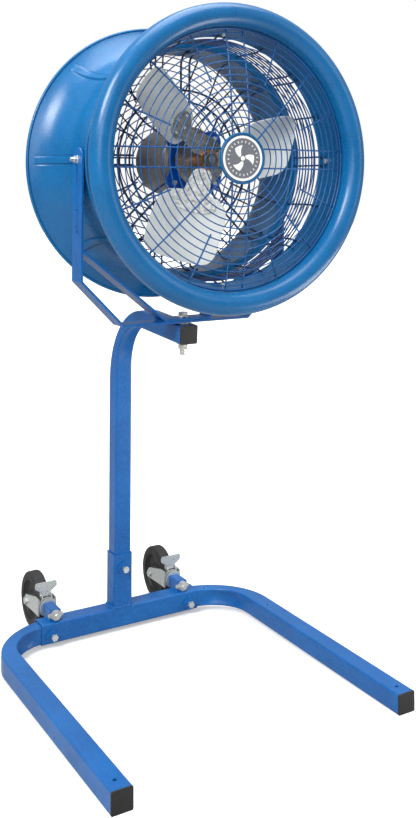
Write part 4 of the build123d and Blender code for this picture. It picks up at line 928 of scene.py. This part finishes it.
# ============================================================ carried-over CAD nodes
by_slot = {"stand_paint": STAND, "fan_paint": FAN, "black_plastic": CAP, "zinc_fastener": ZINC, "zinc_plate": FORK,
           "wheel_hub_plastic": HUB, "wheel_rubber": TYRE, "dark_wire": WIRE_SHADE_PAINTED, "motor_paint": MOTOR,
           "motor_core": CORE, "bare_steel": STEEL, "bronze": BRONZE, "aluminium_sheet": ALU, "cable_rubber": CABLE,
           "badge_print": BADGE}
slots = {}
for sp in (frame["record"].get("appearance") or {}).get("subparts", frame["record"].get("subparts") or []):
    slots[sp["node"]] = sp["material_slot"]
special = {"motor_plate": PLATE_BLUE, "yoke": STAND, "yoke_brace": STAND, "prop_spider": SPIDER, "prop_hub": BUSHING}
for name, ob in nodes.items():
    if ob.hide_render:
        continue
    mat = special.get(name) or by_slot.get(slots.get(name), FAN)
    if not ob.material_slots:
        ob.data.materials.append(mat)
    for ms in ob.material_slots:
        ms.material = mat
    weld = ob.modifiers.new("weld", "WELD")
    weld.merge_threshold = 0.00001
    if name in ("crossbar", "mast_socket"):      # their corners are rounded already
        continue
    bev = ob.modifiers.new("edge_round", "BEVEL")
    lo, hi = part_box(name)
    small = min(hi - lo)
    bev.width = 0.0007 if small > 0.012 else 0.0003
    bev.segments = 2
    bev.limit_method = "ANGLE"
    bev.angle_limit = math.radians(38)
    bev.use_clamp_overlap = True
    bev.harden_normals = False
    wn = ob.modifiers.new("face_normals", "WEIGHTED_NORMAL")
    wn.mode = "FACE_AREA"
    wn.weight = 90
    wn.keep_sharp = True

# ============================================================ camera
HOME = Vector((-1.0098, -2.3085, 1.0265))
YAW, PITCH, ROLL = 0.574057663, 0.03144430, 0.00081756
f = Vector((math.sin(YAW) * math.cos(PITCH), math.cos(YAW) * math.cos(PITCH), math.sin(PITCH)))
r = Vector((math.cos(YAW), -math.sin(YAW), 0.0))
u = r.cross(f)
right = r * math.cos(ROLL) + u * math.sin(ROLL)
up = u * math.cos(ROLL) - r * math.sin(ROLL)
cam_data = bpy.data.cameras.new("camera")
cam = bpy.data.objects.new("camera", cam_data)
bpy.context.scene.collection.objects.link(cam)
rot = Matrix((right, up, -f)).transposed()
cam.rotation_mode = "QUATERNION"
cam.rotation_quaternion = rot.to_quaternion()
cam.location = HOME
cam_data.sensor_width = 36.0
cam_data.sensor_fit = "AUTO"
cam_data.lens = 45.54
cam_data.clip_start, cam_data.clip_end = 0.05, 60.0
bpy.context.scene.camera = cam
home = bpy.data.objects.new("camera_home", None)
bpy.context.scene.collection.objects.link(home)
home.location = HOME
home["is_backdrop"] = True
# the lens shift belongs to the home position only; anywhere else it falls to zero
for channel, value in (("shift_x", -0.1010), ("shift_y", -0.3090)):
    curve = cam_data.driver_add(channel)
    curve.driver.type = "SUM"
    var = curve.driver.variables.new()
    var.type = "LOC_DIFF"
    var.targets[0].id = cam
    var.targets[1].id = home
    while curve.modifiers:
        curve.modifiers.remove(curve.modifiers[0])
    for x, y in ((0.0, value), (0.02, value), (0.04, 0.0), (1.0, 0.0)):
        kp = curve.keyframe_points.insert(x, y)
        kp.interpolation = "LINEAR"
    curve.extrapolation = "CONSTANT"

# ============================================================ floor, backdrop, light
scene = bpy.context.scene
tilt = math.atan2(16.0, 127.0 + 704.0)
me = bpy.data.meshes.new("floor")
S = 40.0
me.from_pydata([(-S, -S, 0), (S, -S, 0), (S, S, 0), (-S, S, 0)], [], [(0, 1, 2, 3)])
floor = bpy.data.objects.new("floor", me)
scene.collection.objects.link(floor)
floor.location = (0, -0.704, 0)
floor.rotation_euler = (-tilt, 0, 0)
m, t, b, tc = nodetree("floor_white")
c = mixc(t, noise(t, tc.outputs["Object"], 1.5, 3.0), (0.88, 0.88, 0.88, 1), (0.91, 0.91, 0.91, 1))
t.links.new(c, b.inputs["Base Color"])
b.inputs["Roughness"].default_value = 0.85
# the sweep brightens into the backdrop away from the object
ln = t.nodes.new("ShaderNodeVectorMath")
ln.operation = "LENGTH"
t.links.new(tc.outputs["Object"], ln.inputs[0])
far = ramp(t, mathn(t, "DIVIDE", ln.outputs["Value"], 10.0), [(0.10, grey(0)), (0.55, grey(1))])
flp = t.nodes.new("ShaderNodeLightPath")
seen = flp.outputs["Is Camera Ray"]
t.links.new(mathn(t, "MULTIPLY", mathn(t, "ADD", mathn(t, "MULTIPLY", far, 0.55), 0.33), seen), b.inputs["Emission Strength"])
b.inputs["Emission Color"].default_value = (1, 1, 1, 1)
t.links.new(mixc(t, seen, grey(0.44), c), b.inputs["Base Color"])
me.materials.append(m)
floor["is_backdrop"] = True

world = bpy.data.worlds.new("studio")
scene.world = world
world.use_nodes = True
wt = world.node_tree
wt.nodes.clear()
wo = wt.nodes.new("ShaderNodeOutputWorld")
bg = wt.nodes.new("ShaderNodeBackground")
bg.inputs[0].default_value = (1.0, 1.0, 1.0, 1)
# plain white to the camera; a dimmer room with a bright ceiling to the paint and metal
lp = wt.nodes.new("ShaderNodeLightPath")
wtc = wt.nodes.new("ShaderNodeTexCoord")
wsep = wt.nodes.new("ShaderNodeSeparateXYZ")
wt.links.new(wtc.outputs["Generated"], wsep.inputs[0])
room = ramp(wt, mathn(wt, "ADD", mathn(wt, "MULTIPLY", wsep.outputs[2], 0.5), 0.5), [(0.0, grey(0.12)), (0.46, grey(0.20)), (0.62, grey(0.42)), (1.0, grey(0.85))])
cam_ray = lp.outputs["Is Camera Ray"]
strength = mixc(wt, cam_ray, room, grey(1.0))
wt.links.new(strength, bg.inputs[1])
wt.links.new(bg.outputs[0], wo.inputs[0])


def area(name, loc, target, size, power, color=(1, 1, 1), spread=180):
    l = bpy.data.lights.new(name, "AREA")
    l.shape = "RECTANGLE"
    l.size, l.size_y = size
    l.energy = power
    l.color = color
    l.spread = math.radians(spread)
    o = bpy.data.objects.new(name, l)
    scene.collection.objects.link(o)
    o.location = loc
    o.rotation_mode = "QUATERNION"
    o.rotation_quaternion = (Vector(loc) - Vector(target)).to_track_quat("Z", "Y")
    return o


mid = Vector((0, -0.35, 0.7))
area("key", (-2.7, -1.7, 2.9), mid, (1.3, 1.3), 108)
area("front", (-2.2, -3.1, 1.9), mid, (1.7, 1.9), 32)
area("fill", (2.6, -2.6, 1.7), mid, (1.4, 2.2), 16)
kick = area("kick", (1.15, -1.05, 0.12), Vector((0.05, -0.58, 0.95)), (1.1, 0.8), 15)
kick.visible_camera = False
area("top", (0.1, -0.5, 3.6), mid, (2.4, 2.4), 84)

scene.view_settings.view_transform = "Standard"
scene.view_settings.look = "None"
scene.view_settings.exposure = 0.0

lo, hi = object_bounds()
